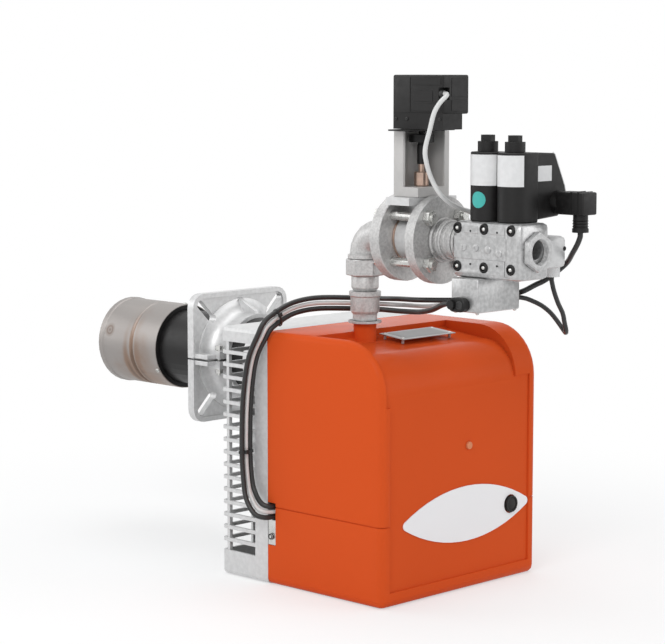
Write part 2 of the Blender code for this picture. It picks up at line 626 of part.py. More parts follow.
def make_flange():
    """Boiler flange that slides on the blast tube and is clamped by one bolt."""
    face = FLANGE_FACE_Y
    back = face - FLANGE_THICK
    slab = plate("flange", rounded_rect(FLANGE_SIZE, FLANGE_SIZE, 0.020, 5), back, face, "XZ",
                 (0, 0, AXIS_Z), CAST)
    well = plate("flange_well", rounded_rect(FLANGE_SIZE - 0.014, FLANGE_SIZE - 0.014, 0.014, 5),
                 back - 0.01, back + 0.0025, "XZ", (0, 0, AXIS_Z), cutter=True)
    start = face - FLANGE_THICK - COLLAR_LENGTH
    dome = [(COLLAR_R, start)] + arc(COLLAR_R + 0.020, back - 0.020, 0.020, 180, 90, 6)
    dome += [(COLLAR_R + 0.020, back + 0.006), (TUBE_R - 0.002, back + 0.006), (TUBE_R - 0.002, start)]
    collar = turned("flange_collar", dome, (0, 0, AXIS_Z), "Y", cutter=True, segments=48)
    lugs = box("flange_lugs", (-TUBE_R - LUG_REACH, start, AXIS_Z - 0.013),
               (-TUBE_R + 0.002, start + 0.022, AXIS_Z + 0.013), cutter=True)
    reach = FLANGE_SIZE / 2 - 0.010
    rib_top = plate("flange_rib_top", [(start + 0.004, COLLAR_R - 0.004), (start + 0.004, COLLAR_R + 0.004),
                                       (back + 0.004, reach), (back + 0.004, COLLAR_R - 0.004)],
                    -0.004, 0.004, "YZ", (0, 0, AXIS_Z), cutter=True)
    rib_side = bmesh.new()
    add_plate(rib_side, [(COLLAR_R - 0.004, start + 0.004), (COLLAR_R + 0.004, start + 0.004),
                         (reach, back + 0.004), (COLLAR_R - 0.004, back + 0.004)], -0.004, 0.004, "XY",
              (0, 0, AXIS_Z))
    side = finish("flange_rib_side", rib_side, cutter=True)
    bore = rod("flange_bore", (0, face, AXIS_Z), TUBE_R + GAP, 0.2, "Y", cutter=True, segments=48)
    split = box("flange_split", (-TUBE_R - 0.030, start - 0.01, AXIS_Z - SPLIT / 2),
                (-TUBE_R + 0.01, back - 0.001, AXIS_Z + SPLIT / 2), cutter=True)
    slots = bmesh.new()
    stadium = arc(SLOT_FAR, 0, SLOT_WIDTH / 2, -90, 90, 8) + arc(SLOT_NEAR, 0, SLOT_WIDTH / 2, 90, 270, 8)
    for i in range(4):
        verts = add_plate(slots, stadium, face - 0.03, face + 0.01, "XZ")
        bmesh.ops.transform(slots, matrix=Matrix.Rotation(math.radians(90 * i + 45), 4, "Y"), verts=verts)
    bmesh.ops.translate(slots, verts=slots.verts, vec=(0, 0, AXIS_Z))
    bolt_x = -TUBE_R - LUG_REACH + 0.009
    bolt_y = start + 0.011
    drill = rod("flange_bolt_hole", (bolt_x, bolt_y, AXIS_Z), CLAMP_BOLT_R + GAP, 0.05, cutter=True)
    cut(slab, well)
    join(slab, collar, lugs, rib_top, side)
    slot_tool = finish("flange_slots", slots, cutter=True)
    cut(slab, slot_tool, split, drill, bore)
    bolt = plate("clamp_bolt", hexagon(0.010), 0.013 + GAP, 0.020, "XY", (bolt_x, bolt_y, AXIS_Z), STEEL)
    shank = rod("clamp_bolt_shank", (bolt_x, bolt_y, AXIS_Z - 0.003), CLAMP_BOLT_R, 0.040, cutter=True)
    nut = plate("clamp_nut", hexagon(0.010), -0.020, -0.013 - GAP, "XY", (bolt_x, bolt_y, AXIS_Z),
                cutter=True)
    join(bolt, shank, nut)


def sweep(name, points, radius, bore=0.0, mat=None, cutter=False, sides=20):
    """A round bar or pipe that follows a smooth row of points."""
    path = [Vector(p) for p in points]
    bm = bmesh.new()
    ahead = (path[1] - path[0]).normalized()
    side = ahead.orthogonal().normalized()
    rings = []
    for i, centre in enumerate(path):
        ahead = (path[min(i + 1, len(path) - 1)] - path[max(i - 1, 0)]).normalized()
        side = (side - ahead * side.dot(ahead)).normalized()
        up = ahead.cross(side)
        turn = [2 * math.pi * k / sides for k in range(sides)]
        for size in (radius, bore) if bore else (radius,):
            rings.append([bm.verts.new(centre + (side * math.cos(a) + up * math.sin(a)) * size)
                          for a in turn])
    step = 2 if bore else 1
    for first in range(step):
        layer = rings[first::step]
        for a, b in zip(layer, layer[1:]):
            for k in range(sides):
                n = (k + 1) % sides
                bm.faces.new((a[k], a[n], b[n], b[k]))
    for end in (0, len(path) - 1):
        outer = rings[end * step]
        if bore:
            inner = rings[end * step + 1]
            for k in range(sides):
                n = (k + 1) % sides
                bm.faces.new((outer[k], outer[n], inner[n], inner[k]))
        else:
            bm.faces.new(outer)
    return finish(name, bm, mat, cutter)


def smooth_route(points, step, count=0):
    """Evenly spaced points on a smooth curve through the given ones, a step apart or in a set count."""
    knots = [Vector(p) for p in points]
    knots = [2 * knots[0] - knots[1]] + knots + [2 * knots[-1] - knots[-2]]
    fine = []
    for a, b, c, d in zip(knots, knots[1:], knots[2:], knots[3:]):
        for i in range(16):
            t = i / 16
            fine.append(0.5 * (2 * b + (c - a) * t + (2 * a - 5 * b + 4 * c - d) * t * t
                               + (3 * b - a - 3 * c + d) * t ** 3))
    fine.append(knots[-2])
    total = sum((b - a).length for a, b in zip(fine, fine[1:]))
    count = count or max(2, round(total / step))
    spaced = [fine[0]]
    travelled = 0.0
    for a, b in zip(fine, fine[1:]):
        leg = (b - a).length
        while len(spaced) < count and travelled + leg >= total * len(spaced) / count:
            spaced.append(a.lerp(b, (total * len(spaced) / count - travelled) / leg))
        travelled += leg
    return spaced + [fine[-1]]


def make_riser():
    """Gas pipe up through the cover, with reducer, union and elbow."""
    x, y = TRAIN_X, RISER_Y
    low = AXIS_Z
    route = [(x, y, low + 0.0970), (x, y, low + 0.0735), (x, y, low + 0.0485),
             (x + 0.001, y + 0.001, low + 0.0365), (x + 0.010, y + 0.007, low + 0.0155),
             (x + 0.030, y + 0.022, low + 0.003), (-0.012, -0.098, low),
             (-0.001, -0.086, low), (0, -0.080, low), (0, PLATE_FRONT - 0.0306, low)]
    sweep("gas_riser", smooth_route(route, 0.014), RISER_R - 0.0005, RISER_R - 0.003, GALVANISED, sides=12)
    ring("rosette", 0.0225, RISER_R + GAP, (x, y, BOSS_TOP + 0.0019), 0.0032, "Z", MACHINED, segments=24)
    turned("reducer_socket", [(0.0165, 0.3622), (0.0165, 0.3700), (0.0197, 0.3740), (0.0197, 0.3935),
                              (0.0215, 0.3950), (0.0215, 0.4010), (MAIN_BORE_R, 0.4010),
                              (MAIN_BORE_R, 0.3788), (RISER_R - 0.0002, 0.3788),
                              (RISER_R - 0.0002, 0.3622)], (x, y, 0), "Z", GALVANISED, segments=24)
    turned("union_tail", [(0.0155, 0.4013), (0.0185, 0.4060), (0.0185, 0.4213), (0.0172, 0.4218),
                          (0.0172, 0.4447), (MAIN_BORE_R, 0.4447), (MAIN_BORE_R, 0.4013)], (x, y, 0), "Z",
           GALVANISED, segments=24)
    nut = plate("union_nut", hexagon(NUT_AF, 10), 0.4222, 0.4447, "XY", (x, y, 0), GALVANISED, bevel=0.0015)
    cut(nut, rod("union_nut_bore", (x, y, 0.43), 0.0175, 0.06, cutter=True, segments=24))
    turn = 0.026
    path = [(x, y, 0.4450)]
    path += [(x, y - turn + turn * math.cos(a), TRAIN_Z - turn + turn * math.sin(a))
             for a in [math.radians(18 * i) for i in range(6)]]
    path.append((x, train_y(0.0447), TRAIN_Z))
    elbow = sweep("elbow", path, 0.0205, 0, GALVANISED, sides=20)
    bead_low = ring("elbow_bead_low", 0.0235, 0.015, (x, y, 0.4480), 0.005, "Z", cutter=True, segments=20)
    bead_side = ring("elbow_bead_side", 0.0235, 0.015, (x, train_y(0.0415), TRAIN_Z), 0.005, "Y",
                     cutter=True, segments=20)
    ends = [(x, y, 0.4350)] + path + [(x, train_y(0.055), TRAIN_Z)]
    join(elbow, bead_low, bead_side)
    cut(elbow, sweep("elbow_bore", ends, MAIN_BORE_R, 0, cutter=True, sides=16))


def make_throttle():
    """Flanged gas throttle with its servo: discs, studs, body, stem, bracket and drive."""
    x = TRAIN_X
    y = train_y(THROTTLE_T)
    holes = bmesh.new()
    for i in range(4):
        a = math.radians(45 + 90 * i)
        add_rod(holes, (x + STUD_PCD_R * math.cos(a), train_y(THROTTLE_T), TRAIN_Z + STUD_PCD_R * math.sin(a)),
                STUD_R + GAP, 0.2, "Y", 12)
    drill = finish("stud_holes", holes, cutter=True)
    far = REAR_DISC_T + DISC_THICK
    near = FRONT_DISC_T
    for name, face, other, hub in (("flange_rear", far, REAR_DISC_T, 0.045),
                                   ("flange_front", near, near + DISC_THICK, BLOCK_START - 0.0003)):
        profile = [(DISC_R - 0.001, face), (DISC_R, face + 0.001 * (1 if other > face else -1)),
                   (DISC_R, other), (0.0245, other), (0.0225, hub), (MAIN_BORE_R, hub),
                   (MAIN_BORE_R, face)]
        disc = turned(name, [(r, -t) for r, t in profile], (x, RISER_Y, TRAIN_Z), "Y", GALVANISED,
                      segments=36)
        cut(disc, drill)
    for name, t in (("gasket_rear", far + 0.0013), ("gasket_front", near - 0.0013)):
        ring(name, 0.0315, MAIN_BORE_R + 0.001, (x, train_y(t), TRAIN_Z), 0.002, "Y", BRASS, segments=32)
    ends = (train_y(REAR_DISC_T - 0.013), train_y(near + DISC_THICK + 0.013))
    for i in range(4):
        a = math.radians(45 + 90 * i)
        at = (x + STUD_PCD_R * math.cos(a), sum(ends) / 2, TRAIN_Z + STUD_PCD_R * math.sin(a))
        stud = rod("flange_stud_%d" % (i + 1), at, STUD_R, ends[0] - ends[1], "Y", STEEL, segments=12)
        for t in (REAR_DISC_T - 0.0093, near + DISC_THICK + 0.0003):
            join(stud, plate("stud_nut_%d" % (i + 1), hexagon(0.018, 15), train_y(t + 0.009), train_y(t), "XZ",
                             (at[0], 0, at[2]), cutter=True))
    length = near - far - 0.0052
    body = rod("butterfly_body", (x, y, TRAIN_Z), 0.030, length, "Y", CAST, segments=36)
    neck = rod("butterfly_neck", (x, y, TRAIN_Z + 0.036), 0.016, 0.024, cutter=True, segments=32)
    base = box("butterfly_base", (x - 0.046, y - 0.0205, BASE_PLATE_Z),
               (x + 0.046, y + 0.0205, BASE_PLATE_Z + BASE_PLATE_THICK), cutter=True)
    bore = rod("butterfly_bore", (x, y, TRAIN_Z), MAIN_BORE_R - 0.0005, 0.2, "Y", cutter=True, segments=32)
    stem_low = TRAIN_Z - 0.0185
    stem_hole = rod("stem_hole", (x, y, (stem_low + 0.56) / 2), STEM_R + GAP, 0.56 - stem_low, cutter=True)
    join(body, neck, base)
    cut(body, bore, stem_hole)
    throttle = rod("throttle_disc", (x, y, TRAIN_Z), 0.0125, 0.0016, "Y", BRASS, segments=32)
    stem_top = 0.5870
    join(throttle, rod("throttle_stem", (x, y, (stem_low + 0.0005 + stem_top) / 2), STEM_R,
                       stem_top - stem_low - 0.0005, cutter=True))
    base_top = BASE_PLATE_Z + BASE_PLATE_THICK
    block_top = base_top + 0.0130
    half_x, half_y, wall = BRACKET_X / 2, BRACKET_Y / 2, 0.004
    shape = [(-half_x, half_y), (-half_x, half_y - 0.017), (-half_x + wall, half_y - 0.017),
             (-half_x + wall, half_y - wall), (half_x - wall, half_y - wall),
             (half_x - wall, -half_y + wall), (half_x - 0.009, -half_y + wall),
             (half_x - 0.009, -half_y), (half_x, -half_y), (half_x, half_y)]
    bracket = plate("servo_bracket", shape, block_top - 0.001, BRACKET_TOP, "XY", (x, y, 0), CAST)
    foot = box("bracket_foot", (x - half_x, y - half_y, base_top + GAP), (x + half_x, y + half_y, block_top),
               cutter=True)
    join(bracket, foot)
    cut(bracket, rod("bracket_stem_hole", (x, y, base_top), STEM_R + GAP, 0.06, cutter=True))
    gland = plate("gland_nut", hexagon(0.0175), block_top + GAP, block_top + 0.019, "XY", (x, y, 0), BRASS,
                  bevel=0.001)
    cut(gland, rod("gland_bore", (x, y, block_top), STEM_R + GAP, 0.06, cutter=True))
    turned("servo_coupling", [(0, 0.5875), (STEM_R + GAP, 0.5875), (STEM_R + GAP, 0.5745), (0.0058, 0.5745),
                              (0.0058, 0.5990), (0.0050, 0.6000), (0.0050, 0.6030), (0.0165, 0.6030),
                              (0.0165, 0.6130), (STEM_R, 0.6130), (STEM_R, 0.6270), (0, 0.6270)], (x, y, 0), "Z",
           BLACK_PLASTIC)
    seat = plate("servo_plate", rounded_rect(0.092, 0.040, 0.006), BRACKET_TOP + GAP, BRACKET_TOP + 0.0023,
                 "XY", (x, y, 0), BLACK_PAINT)
    hole = rod("servo_shaft_hole", (x, y, 0.610), STEM_R + 0.0006, 0.036, cutter=True)
    cut(seat, hole)
    low = BRACKET_TOP + 0.0026
    mid = 0.640
    y0, y1 = train_y(0.161), train_y(0.073)
    servo = box("servo_body", (x - 0.025, y0, mid), (x + 0.025, y1, SERVO_TOP), BLACK_PLASTIC,
                bevel=0.0025, segments=3)
    lower = box("servo_lower", (x - 0.0245, y0 + 0.001, low), (x + 0.013, y1 - 0.001, mid + 0.01),
                cutter=True)
    recess = box("servo_recess", (x - 0.026, y0 - 0.01, 0.658), (x - 0.013, y0 + 0.008, 0.674),
                 cutter=True)
    pocket = rod("servo_pocket", (x, y, 0.617), STEM_R + 0.0006, 0.024, cutter=True)
    join(servo, lower)
    cut(servo, recess, pocket)


def cable(name, points, diameter, mat, side=None, spacing=2.6):
    """A round cable through chosen points, which then joins its lane of the bundle if it has one.

    Its first and last short lengths stay straight.
    """
    if side is None:
        route = [points[0]] + smooth_route(points[1:-1], diameter * spacing) + [points[-1]]
    else:
        lane = [Vector(place) + side * Vector(offset) for place, offset in BUNDLE]
        route = [points[0]] + smooth_route(points[1:] + lane[:1], diameter * spacing)
        route += smooth_route(lane[:-1], 0, BUNDLE_STEPS)[1:] + lane[-1:]
    curve = bpy.data.curves.new(name, "CURVE")
    curve.dimensions = "3D"
    curve.bevel_depth = diameter / 2
    curve.bevel_resolution = 2
    curve.use_fill_caps = True
    spline = curve.splines.new("POLY")
    spline.points.add(len(route) - 1)
    for spot, place in zip(spline.points, route):
        spot.co = (*place, 1.0)
    return link(bpy.data.objects.new(name, curve), mat)


def make_cables():
    """Leads of the valve, the servo and the pressure switch, tied together and led in at the clamp."""
    gland_y = train_y(0.314)
    gland_x = TRAIN_X + 0.064
    low = PLUG_Z - 0.0365 - GAP
    cable("cable_valve", [(gland_x, gland_y, low), (gland_x, gland_y, low - 0.005), (0.0070, -0.4430, 0.4785),
                          (0.0130, -0.4300, 0.4650), (0.0260, -0.4086, 0.4489), (0.0140, -0.3876, 0.4291),
                          (0.0030, -0.3777, 0.4216), (-0.0040, -0.3601, 0.4118), (-0.0060, -0.3300, 0.4050),
                          (-0.0260, -0.2875, 0.3980), (-0.0480, -0.2300, 0.3949), (-0.0300, -0.1700, 0.3905)],
          LEAD_D, RUBBER, 1)
    cable("cable_servo", [(-0.0785, -0.2881, 0.6660), (-0.0785, -0.2930, 0.6660), (-0.0815, -0.2995, 0.6655),
                          (-0.0905, -0.3055, 0.6625), (-0.1020, -0.3070, 0.6560), (-0.1125, -0.3060, 0.6430),
                          (-0.1175, -0.3030, 0.6210), (-0.1228, -0.3000, 0.5959), (-0.1191, -0.3000, 0.5770),
                          (-0.1094, -0.3000, 0.5577), (-0.0997, -0.3050, 0.5398), (-0.0805, -0.3050, 0.5275),
                          (-0.0574, -0.3050, 0.5187), (-0.0416, -0.3050, 0.5143), (-0.0200, -0.3020, 0.5000),
                          (-0.0110, -0.2990, 0.4750), (-0.0080, -0.2960, 0.4450), (0.0000, -0.2850, 0.4200),
                          (-0.0040, -0.2620, 0.3960), (-0.0180, -0.2200, 0.3840), (-0.0200, -0.1700, 0.3815)],
          THIN_LEAD_D, WHITE_CABLE, 0)
    cable("cable_switch", [(-0.1035, -0.3266, 0.4015), (-0.1035, -0.3215, 0.4015), (-0.1000, -0.3100, 0.3985),
                           (-0.0850, -0.2800, 0.3890), (-0.0680, -0.2500, 0.3830), (-0.0500, -0.2200, 0.3785),
                           (-0.0290, -0.1700, 0.3740)], LEAD_D, RUBBER, -1)
    stub = (TRAIN_X + STUB_X, train_y(STUB_T))
    cable("cable_link", [(*stub, STUB_LOW - GAP), (*stub, STUB_LOW - 0.005), (0.0072, -0.4052, 0.4160),
                         (0.0100, -0.4102, 0.4000), (0.0139, -0.4149, 0.3870), (0.0148, -0.4171, 0.3755),
                         (0.0198, -0.4160, 0.3650), (0.0277, -0.4089, 0.3603), (0.0330, -0.3991, 0.3650),
                         (0.0309, -0.3908, 0.3755), (0.0253, -0.3851, 0.3850), (0.0183, -0.3794, 0.3925),
                         (0.0109, -0.3748, 0.3975), (-0.0004, -0.3663, 0.4035), (-0.0095, -0.3600, 0.4055),
                         (-0.0152, -0.3600, 0.4055)], THIN_LEAD_D, RUBBER,
          spacing=2)


def make_valve():
    """Double solenoid gas valve with its coils, plungers, switch box and plug."""
    x = TRAIN_X
    y_start = train_y(BLOCK_START)
    y_end = train_y(BLOCK_START + BLOCK_LENGTH)
    block = box("valve_block", (x - BLOCK_HALF_X, y_end, BLOCK_LOW), (x + BLOCK_HALF_X, y_start, BLOCK_TOP),
                MACHINED, bevel=0.006, segments=2)
    coils = [train_y(COIL_FIRST_T), train_y(COIL_FIRST_T + COIL_PITCH)]
    cut(block, rod("block_bore", (x, (y_start + y_end) / 2, (PORT_Z + TRAIN_Z) / 2), MAIN_BORE_R, 0.3, "Y",
                   cutter=True, segments=32))
    for i, cy in enumerate(coils, 1):
        cut(block, rod("valve_chamber_%d" % i, (x, cy, 0.476), 0.0122, 0.022, cutter=True),
            rod("valve_guide_%d" % i, (x, cy, 0.505), PLUNGER_R + 0.0005, 0.060, cutter=True),
            rod("valve_tube_%d" % i, (x, cy, 0.505), ARMATURE_R + GAP, 0.020, cutter=True))
    pockets = bmesh.new()
    bolt_spots = [(t, z) for t in (0.1894, 0.2335, 0.2775) for z in (0.449, 0.4975)]
    for t, z in bolt_spots:
        for side in (-1, 1):
            add_rod(pockets, (x + side * BLOCK_HALF_X, train_y(t), z), 0.0065, 0.012, "X", 12)
    pocket_tool = finish("block_pockets", pockets, cutter=True)
    groove = box("block_groove", (x - 0.05, train_y(0.268) - 0.0005, BLOCK_LOW - 0.01),
                 (x - BLOCK_HALF_X + 0.001, train_y(0.268) + 0.0005, BLOCK_TOP + 0.01), cutter=True)
    cut(block, pocket_tool, groove)
    port = plate("inlet_port", hexagon(PORT_AF, 30), y_end - GAP - PORT_LENGTH, y_end - GAP, "XZ",
                 (x, 0, PORT_Z), MACHINED, bevel=0.0015)
    bore = rod("port_bore", (x, y_end - PORT_LENGTH, PORT_Z), PORT_BORE_R, PORT_LENGTH + 0.024, "Y",
               cutter=True, segments=32)
    cut(port, bore)
    for i, cy in enumerate(coils, 1):
        shape = arc(0, 0, COIL_R, 90, 270, 14)
        shape += arc(COIL_R - 0.004, -COIL_R + 0.004, 0.004, 270, 360, 3)
        shape += arc(COIL_R - 0.004, COIL_R - 0.004, 0.004, 0, 90, 3)
        coil = plate("coil_%d" % i, shape, BLOCK_TOP + GAP, COIL_TOP, "XY", (x, cy, 0), BLACK_PLASTIC,
                     bevel=0.001)
        cut(coil, rod("coil_bore_%d" % i, (x, cy, 0.55), ARMATURE_R + GAP, 0.15, cutter=True))
        turned("plunger_%d" % i, [(0, 0.4765), (0.0112, 0.4765), (0.0112, 0.4805), (PLUNGER_R, 0.4810),
                                  (PLUNGER_R, 0.5850), (0, 0.5850)], (x, cy, 0), "Z", STEEL)
        nut = rod("coil_nut_%d" % i, (x, cy, COIL_TOP + GAP + 0.0065), 0.013, 0.013, mat=BLACK_PLASTIC,
                  segments=24)
        join(nut, plate("coil_crown_%d" % i, hexagon(0.0158), COIL_TOP + 0.012, 0.6150, "XY", (x, cy, 0),
                        cutter=True))
        cut(nut, rod("coil_well_%d" % i, (x, cy, COIL_TOP), ARMATURE_R + GAP, 0.021, cutter=True))
    box("pressure_switch", (x - 0.038, train_y(0.233), SWITCH_LOW), (x + 0.044, train_y(0.188), BLOCK_LOW - GAP),
        MACHINED, bevel=0.002)
    oval = rounded_rect(0.029, 0.018, 0.0085, 5)
    plate("pressure_plug", oval, x - 0.050, x - 0.038 - GAP, "YZ", (0, train_y(0.2066), 0.4015),
          BLACK_PLASTIC, bevel=0.0015)
    side = box("side_switch", (x + BLOCK_HALF_X + GAP, train_y(0.2872), 0.4465),
               (x + 0.0710, train_y(0.247), 0.487), CAST, bevel=0.006)
    join(side, rod("side_switch_stub", (x + STUB_X, train_y(STUB_T), (STUB_LOW + 0.450) / 2), 0.0105,
                   0.450 - STUB_LOW, cutter=True, segments=16))
    left = x + COIL_R + 0.0008
    outline = [(left, 0.5086), (x + 0.068, 0.5120), (x + 0.083, 0.5370), (x + 0.080, 0.5500),
               (x + 0.060, 0.5905), (x + 0.057, 0.5920), (left, 0.5930)]
    plate("terminal_box", outline, train_y(0.276), train_y(0.203), "XZ", (0, 0, 0), BLACK_PLASTIC,
          bevel=0.0015)
    plug_x, plug_z = x + 0.064, PLUG_Z
    end = 0.276
    collar = rod("valve_plug", (plug_x, train_y(end + 0.0050), plug_z), 0.0150, 0.0094, "Y", BLACK_PLASTIC)
    plug_case = box("plug_case", (plug_x - 0.0143, train_y(end + 0.053), plug_z - 0.0143),
                    (plug_x + 0.0143, train_y(end + 0.008), plug_z + 0.0143), cutter=True)
    round_edges(plug_case, 0.002, 2)
    gland_t = end + 0.038
    gland = rod("plug_gland", (plug_x, train_y(gland_t), plug_z - 0.020), 0.0095, 0.024, cutter=True)
    gland_nut = rod("plug_gland_nut", (plug_x, train_y(gland_t), plug_z - 0.0340), 0.0105, 0.0050, cutter=True)
    join(collar, plug_case, gland, gland_nut)


make_housing()
make_motor_plate()
make_cover()
make_cover_fittings()
make_insides()
make_head()
make_flange()
make_riser()
make_throttle()
make_valve()
make_cables()
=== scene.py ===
import json
import math

import bmesh
import bpy
from bpy.props import FloatProperty, FloatVectorProperty, PointerProperty
from mathutils import Matrix, Vector


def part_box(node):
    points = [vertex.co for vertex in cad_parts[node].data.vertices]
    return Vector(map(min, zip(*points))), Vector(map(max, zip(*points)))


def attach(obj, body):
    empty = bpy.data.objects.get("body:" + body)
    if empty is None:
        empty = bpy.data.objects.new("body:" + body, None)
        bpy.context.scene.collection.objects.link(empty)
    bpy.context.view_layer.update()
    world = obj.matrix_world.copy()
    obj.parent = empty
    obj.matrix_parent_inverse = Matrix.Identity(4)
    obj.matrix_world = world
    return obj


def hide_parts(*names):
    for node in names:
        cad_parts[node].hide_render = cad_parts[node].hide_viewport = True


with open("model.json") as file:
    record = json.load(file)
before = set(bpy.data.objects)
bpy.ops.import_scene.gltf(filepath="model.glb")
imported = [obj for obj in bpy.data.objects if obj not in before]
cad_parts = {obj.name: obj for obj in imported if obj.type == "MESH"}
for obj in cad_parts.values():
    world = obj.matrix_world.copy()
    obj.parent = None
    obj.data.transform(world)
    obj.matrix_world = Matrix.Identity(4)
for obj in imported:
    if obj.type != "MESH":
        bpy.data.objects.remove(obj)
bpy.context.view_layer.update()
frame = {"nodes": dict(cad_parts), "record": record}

bl_info = {
    "name": "Gas burner with gas train",
    "version": (1, 0, 0),
    "blender": (4, 5, 0),
    "location": "View3D > Sidebar > Burner",
    "description": "Dresses the packed burner: moulded cover, castings, pipework, valve, servo and cables",
    "category": "Object",
}

# Places that several pieces share, in metres; T is a distance forwards from the riser

PIPE_X = (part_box("reducer_socket")[0].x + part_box("reducer_socket")[1].x) / 2
PIPE_Y = (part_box("reducer_socket")[0].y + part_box("reducer_socket")[1].y) / 2
AXIS_Z = (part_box("blast_tube")[0].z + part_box("blast_tube")[1].z) / 2
PASS_Z = (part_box("flange_front")[0].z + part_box("flange_front")[1].z) / 2
FLANGE_BACK = 0.175
FLANGE_LUG_X = -0.0765
FLANGE_LUG_Y = 0.1475
FLANGE_SLIT = 0.0026
FLANGE_SLIT_END = -0.0600
HEAD_R = 0.0635
HEAD_SPAN = (0.295, 0.426)
HEAD_SCREW_Y = 0.299
TINT_SPAN = (AXIS_Z + 0.055, AXIS_Z - 0.060)
WELD_SPOT = (-0.0600, 0.4045, 0.3024)
WELD_REACH = 0.013
RATING_MIDDLE = (-0.1625, 0.3398)
RATING_TILT = math.atan2(0.007, 0.072)
BLOCK_POCKET = 0.0223
BLOCK_BOLT_T = (0.1894, 0.2335, 0.2775)
BLOCK_BOLT_Z = (0.4490, 0.4975)
BLOCK_PAD_T = (0.2115, 0.2555)
COIL_R = 0.0217
COIL_T = (0.2150, 0.2596)
PLUG_T = 0.314

# The photograph's view, the floor and the lamps

CAMERA_PLACE = (-2.1229, -2.1168, 0.6972)
CAMERA_AHEAD = (0.70558, 0.69882, -0.11749)
SENSOR_WIDTH = 36.0
FLOOR_REACH = 6.0
FLOOR_DROP = 0.0005
GLOW_FROM = (0.35, 0.50)
GLOW_TO = (1.10, 1.0)
LAMP_AIM = Vector((0, 0, 0.3))
LAMPS = (("key_softbox", (-2.4, -1.2, 2.2), 1.6, 40.0),
         ("fill_softbox", (1.8, -2.6, 1.4), 1.8, 20.0),
         ("top_softbox", (0.2, 0.4, 2.6), 2.0, 22.0),
         ("back_softbox", (-1.4, 2.2, 1.2), 1.4, 12.0))


def part_body(node):
    """The moving body that a CAD node belongs to."""
    for body, nodes in frame["record"]["behaviour"]["bodies"].items():
        if node in nodes:
            return body
    raise ValueError(node)


def train_y(t):
    """Y of a place along the gas train, measured forwards from the riser."""
    return PIPE_Y - t


# Settings that a user would change

class BurnerColours(bpy.types.PropertyGroup):
    """Colours of the burner's finishes."""
    cover: FloatVectorProperty(name="Cover", description="Moulded cover", subtype="COLOR", size=3,
                               default=(0.64, 0.086, 0.018), min=0, max=1)
    casting: FloatVectorProperty(name="Casting", description="Die-cast aluminium", subtype="COLOR", size=3,
                                 default=(0.62, 0.62, 0.62), min=0, max=1)
    pipework: FloatVectorProperty(name="Pipework", description="Galvanised iron", subtype="COLOR", size=3,
                                  default=(0.50, 0.495, 0.49), min=0, max=1)
    valve: FloatVectorProperty(name="Valve", description="Machined aluminium", subtype="COLOR", size=3,
                               default=(0.46, 0.46, 0.46), min=0, max=1)
    plastic: FloatVectorProperty(name="Black plastic", description="Coils, plug and servo", subtype="COLOR",
                                 size=3, default=(0.008, 0.0075, 0.0075), min=0, max=1)
    paint: FloatVectorProperty(name="Black paint", description="Blast tube", subtype="COLOR", size=3,
                               default=(0.011, 0.0105, 0.0105), min=0, max=1)
    sleeve: FloatVectorProperty(name="Head sleeve", description="Stainless steel", subtype="COLOR", size=3,
                                default=(0.31, 0.288, 0.275), min=0, max=1)
    tint: FloatVectorProperty(name="Heat tint", description="Straw to brown bloom on the head sleeve",
                              subtype="COLOR", size=3, default=(0.17, 0.115, 0.085), min=0, max=1)
    label: FloatVectorProperty(name="Labels", description="Bare paper labels", subtype="COLOR", size=3,
                               default=(0.72, 0.72, 0.72), min=0, max=1)


class BurnerSizes(bpy.types.PropertyGroup):
    """Sizes of the scene's own detail."""
    soft_edge: FloatProperty(name="Soft edge", description="Rounding of the hard pieces' edges",
                             default=0.0005, min=0.0001, max=0.002, unit="LENGTH")
    label_thickness: FloatProperty(name="Label thickness", description="How proud a label stands",
                                   default=0.0002, min=0.0001, max=0.001, unit="LENGTH")
    control_lead: FloatProperty(name="Control lead", description="Diameter of the black leads",
                                default=0.007, min=0.004, max=0.010, unit="LENGTH")
    servo_lead: FloatProperty(name="Servo lead", description="Diameter of the white lead",
                              default=0.006, min=0.004, max=0.010, unit="LENGTH")
    lens: FloatProperty(name="Lens", description="Camera lens", default=115.73, min=20, max=300,
                        unit="CAMERA")


# Materials

def shader_nodes(name):
    """A new material, its node tree and its shader."""
    mat = bpy.data.materials.new(name)
    mat.use_nodes = True
    return mat, mat.node_tree, mat.node_tree.nodes["Principled BSDF"]


def add_noise(tree, scale, detail=4.0, stretch=(1, 1, 1)):
    """A noise texture on object coordinates; returns its factor socket."""
    place = tree.nodes.new("ShaderNodeTexCoord")
    mapping = tree.nodes.new("ShaderNodeMapping")
    mapping.inputs["Scale"].default_value = stretch
    noise = tree.nodes.new("ShaderNodeTexNoise")
    noise.inputs["Scale"].default_value = scale
    noise.inputs["Detail"].default_value = detail
    tree.links.new(place.outputs["Object"], mapping.inputs["Vector"])
    tree.links.new(mapping.outputs["Vector"], noise.inputs["Vector"])
    return noise.outputs["Fac"]


def add_ramp(tree, factor, stops):
    """A colour ramp on a factor; returns its colour socket."""
    ramp = tree.nodes.new("ShaderNodeValToRGB")
    ramp.color_ramp.interpolation = "EASE"
    while len(ramp.color_ramp.elements) < len(stops):
        ramp.color_ramp.elements.new(0.5)
    for element, (at, colour) in zip(ramp.color_ramp.elements, stops):
        element.position = at
        element.color = (*colour, 1.0)
    tree.links.new(factor, ramp.inputs["Fac"])
    return ramp.outputs["Color"]


def add_bump(tree, shader, factor, strength, distance):
    """Relief from a factor."""
    bump = tree.nodes.new("ShaderNodeBump")
    bump.inputs["Strength"].default_value = strength
    bump.inputs["Distance"].default_value = distance
    tree.links.new(factor, bump.inputs["Height"])
    tree.links.new(bump.outputs["Normal"], shader.inputs["Normal"])


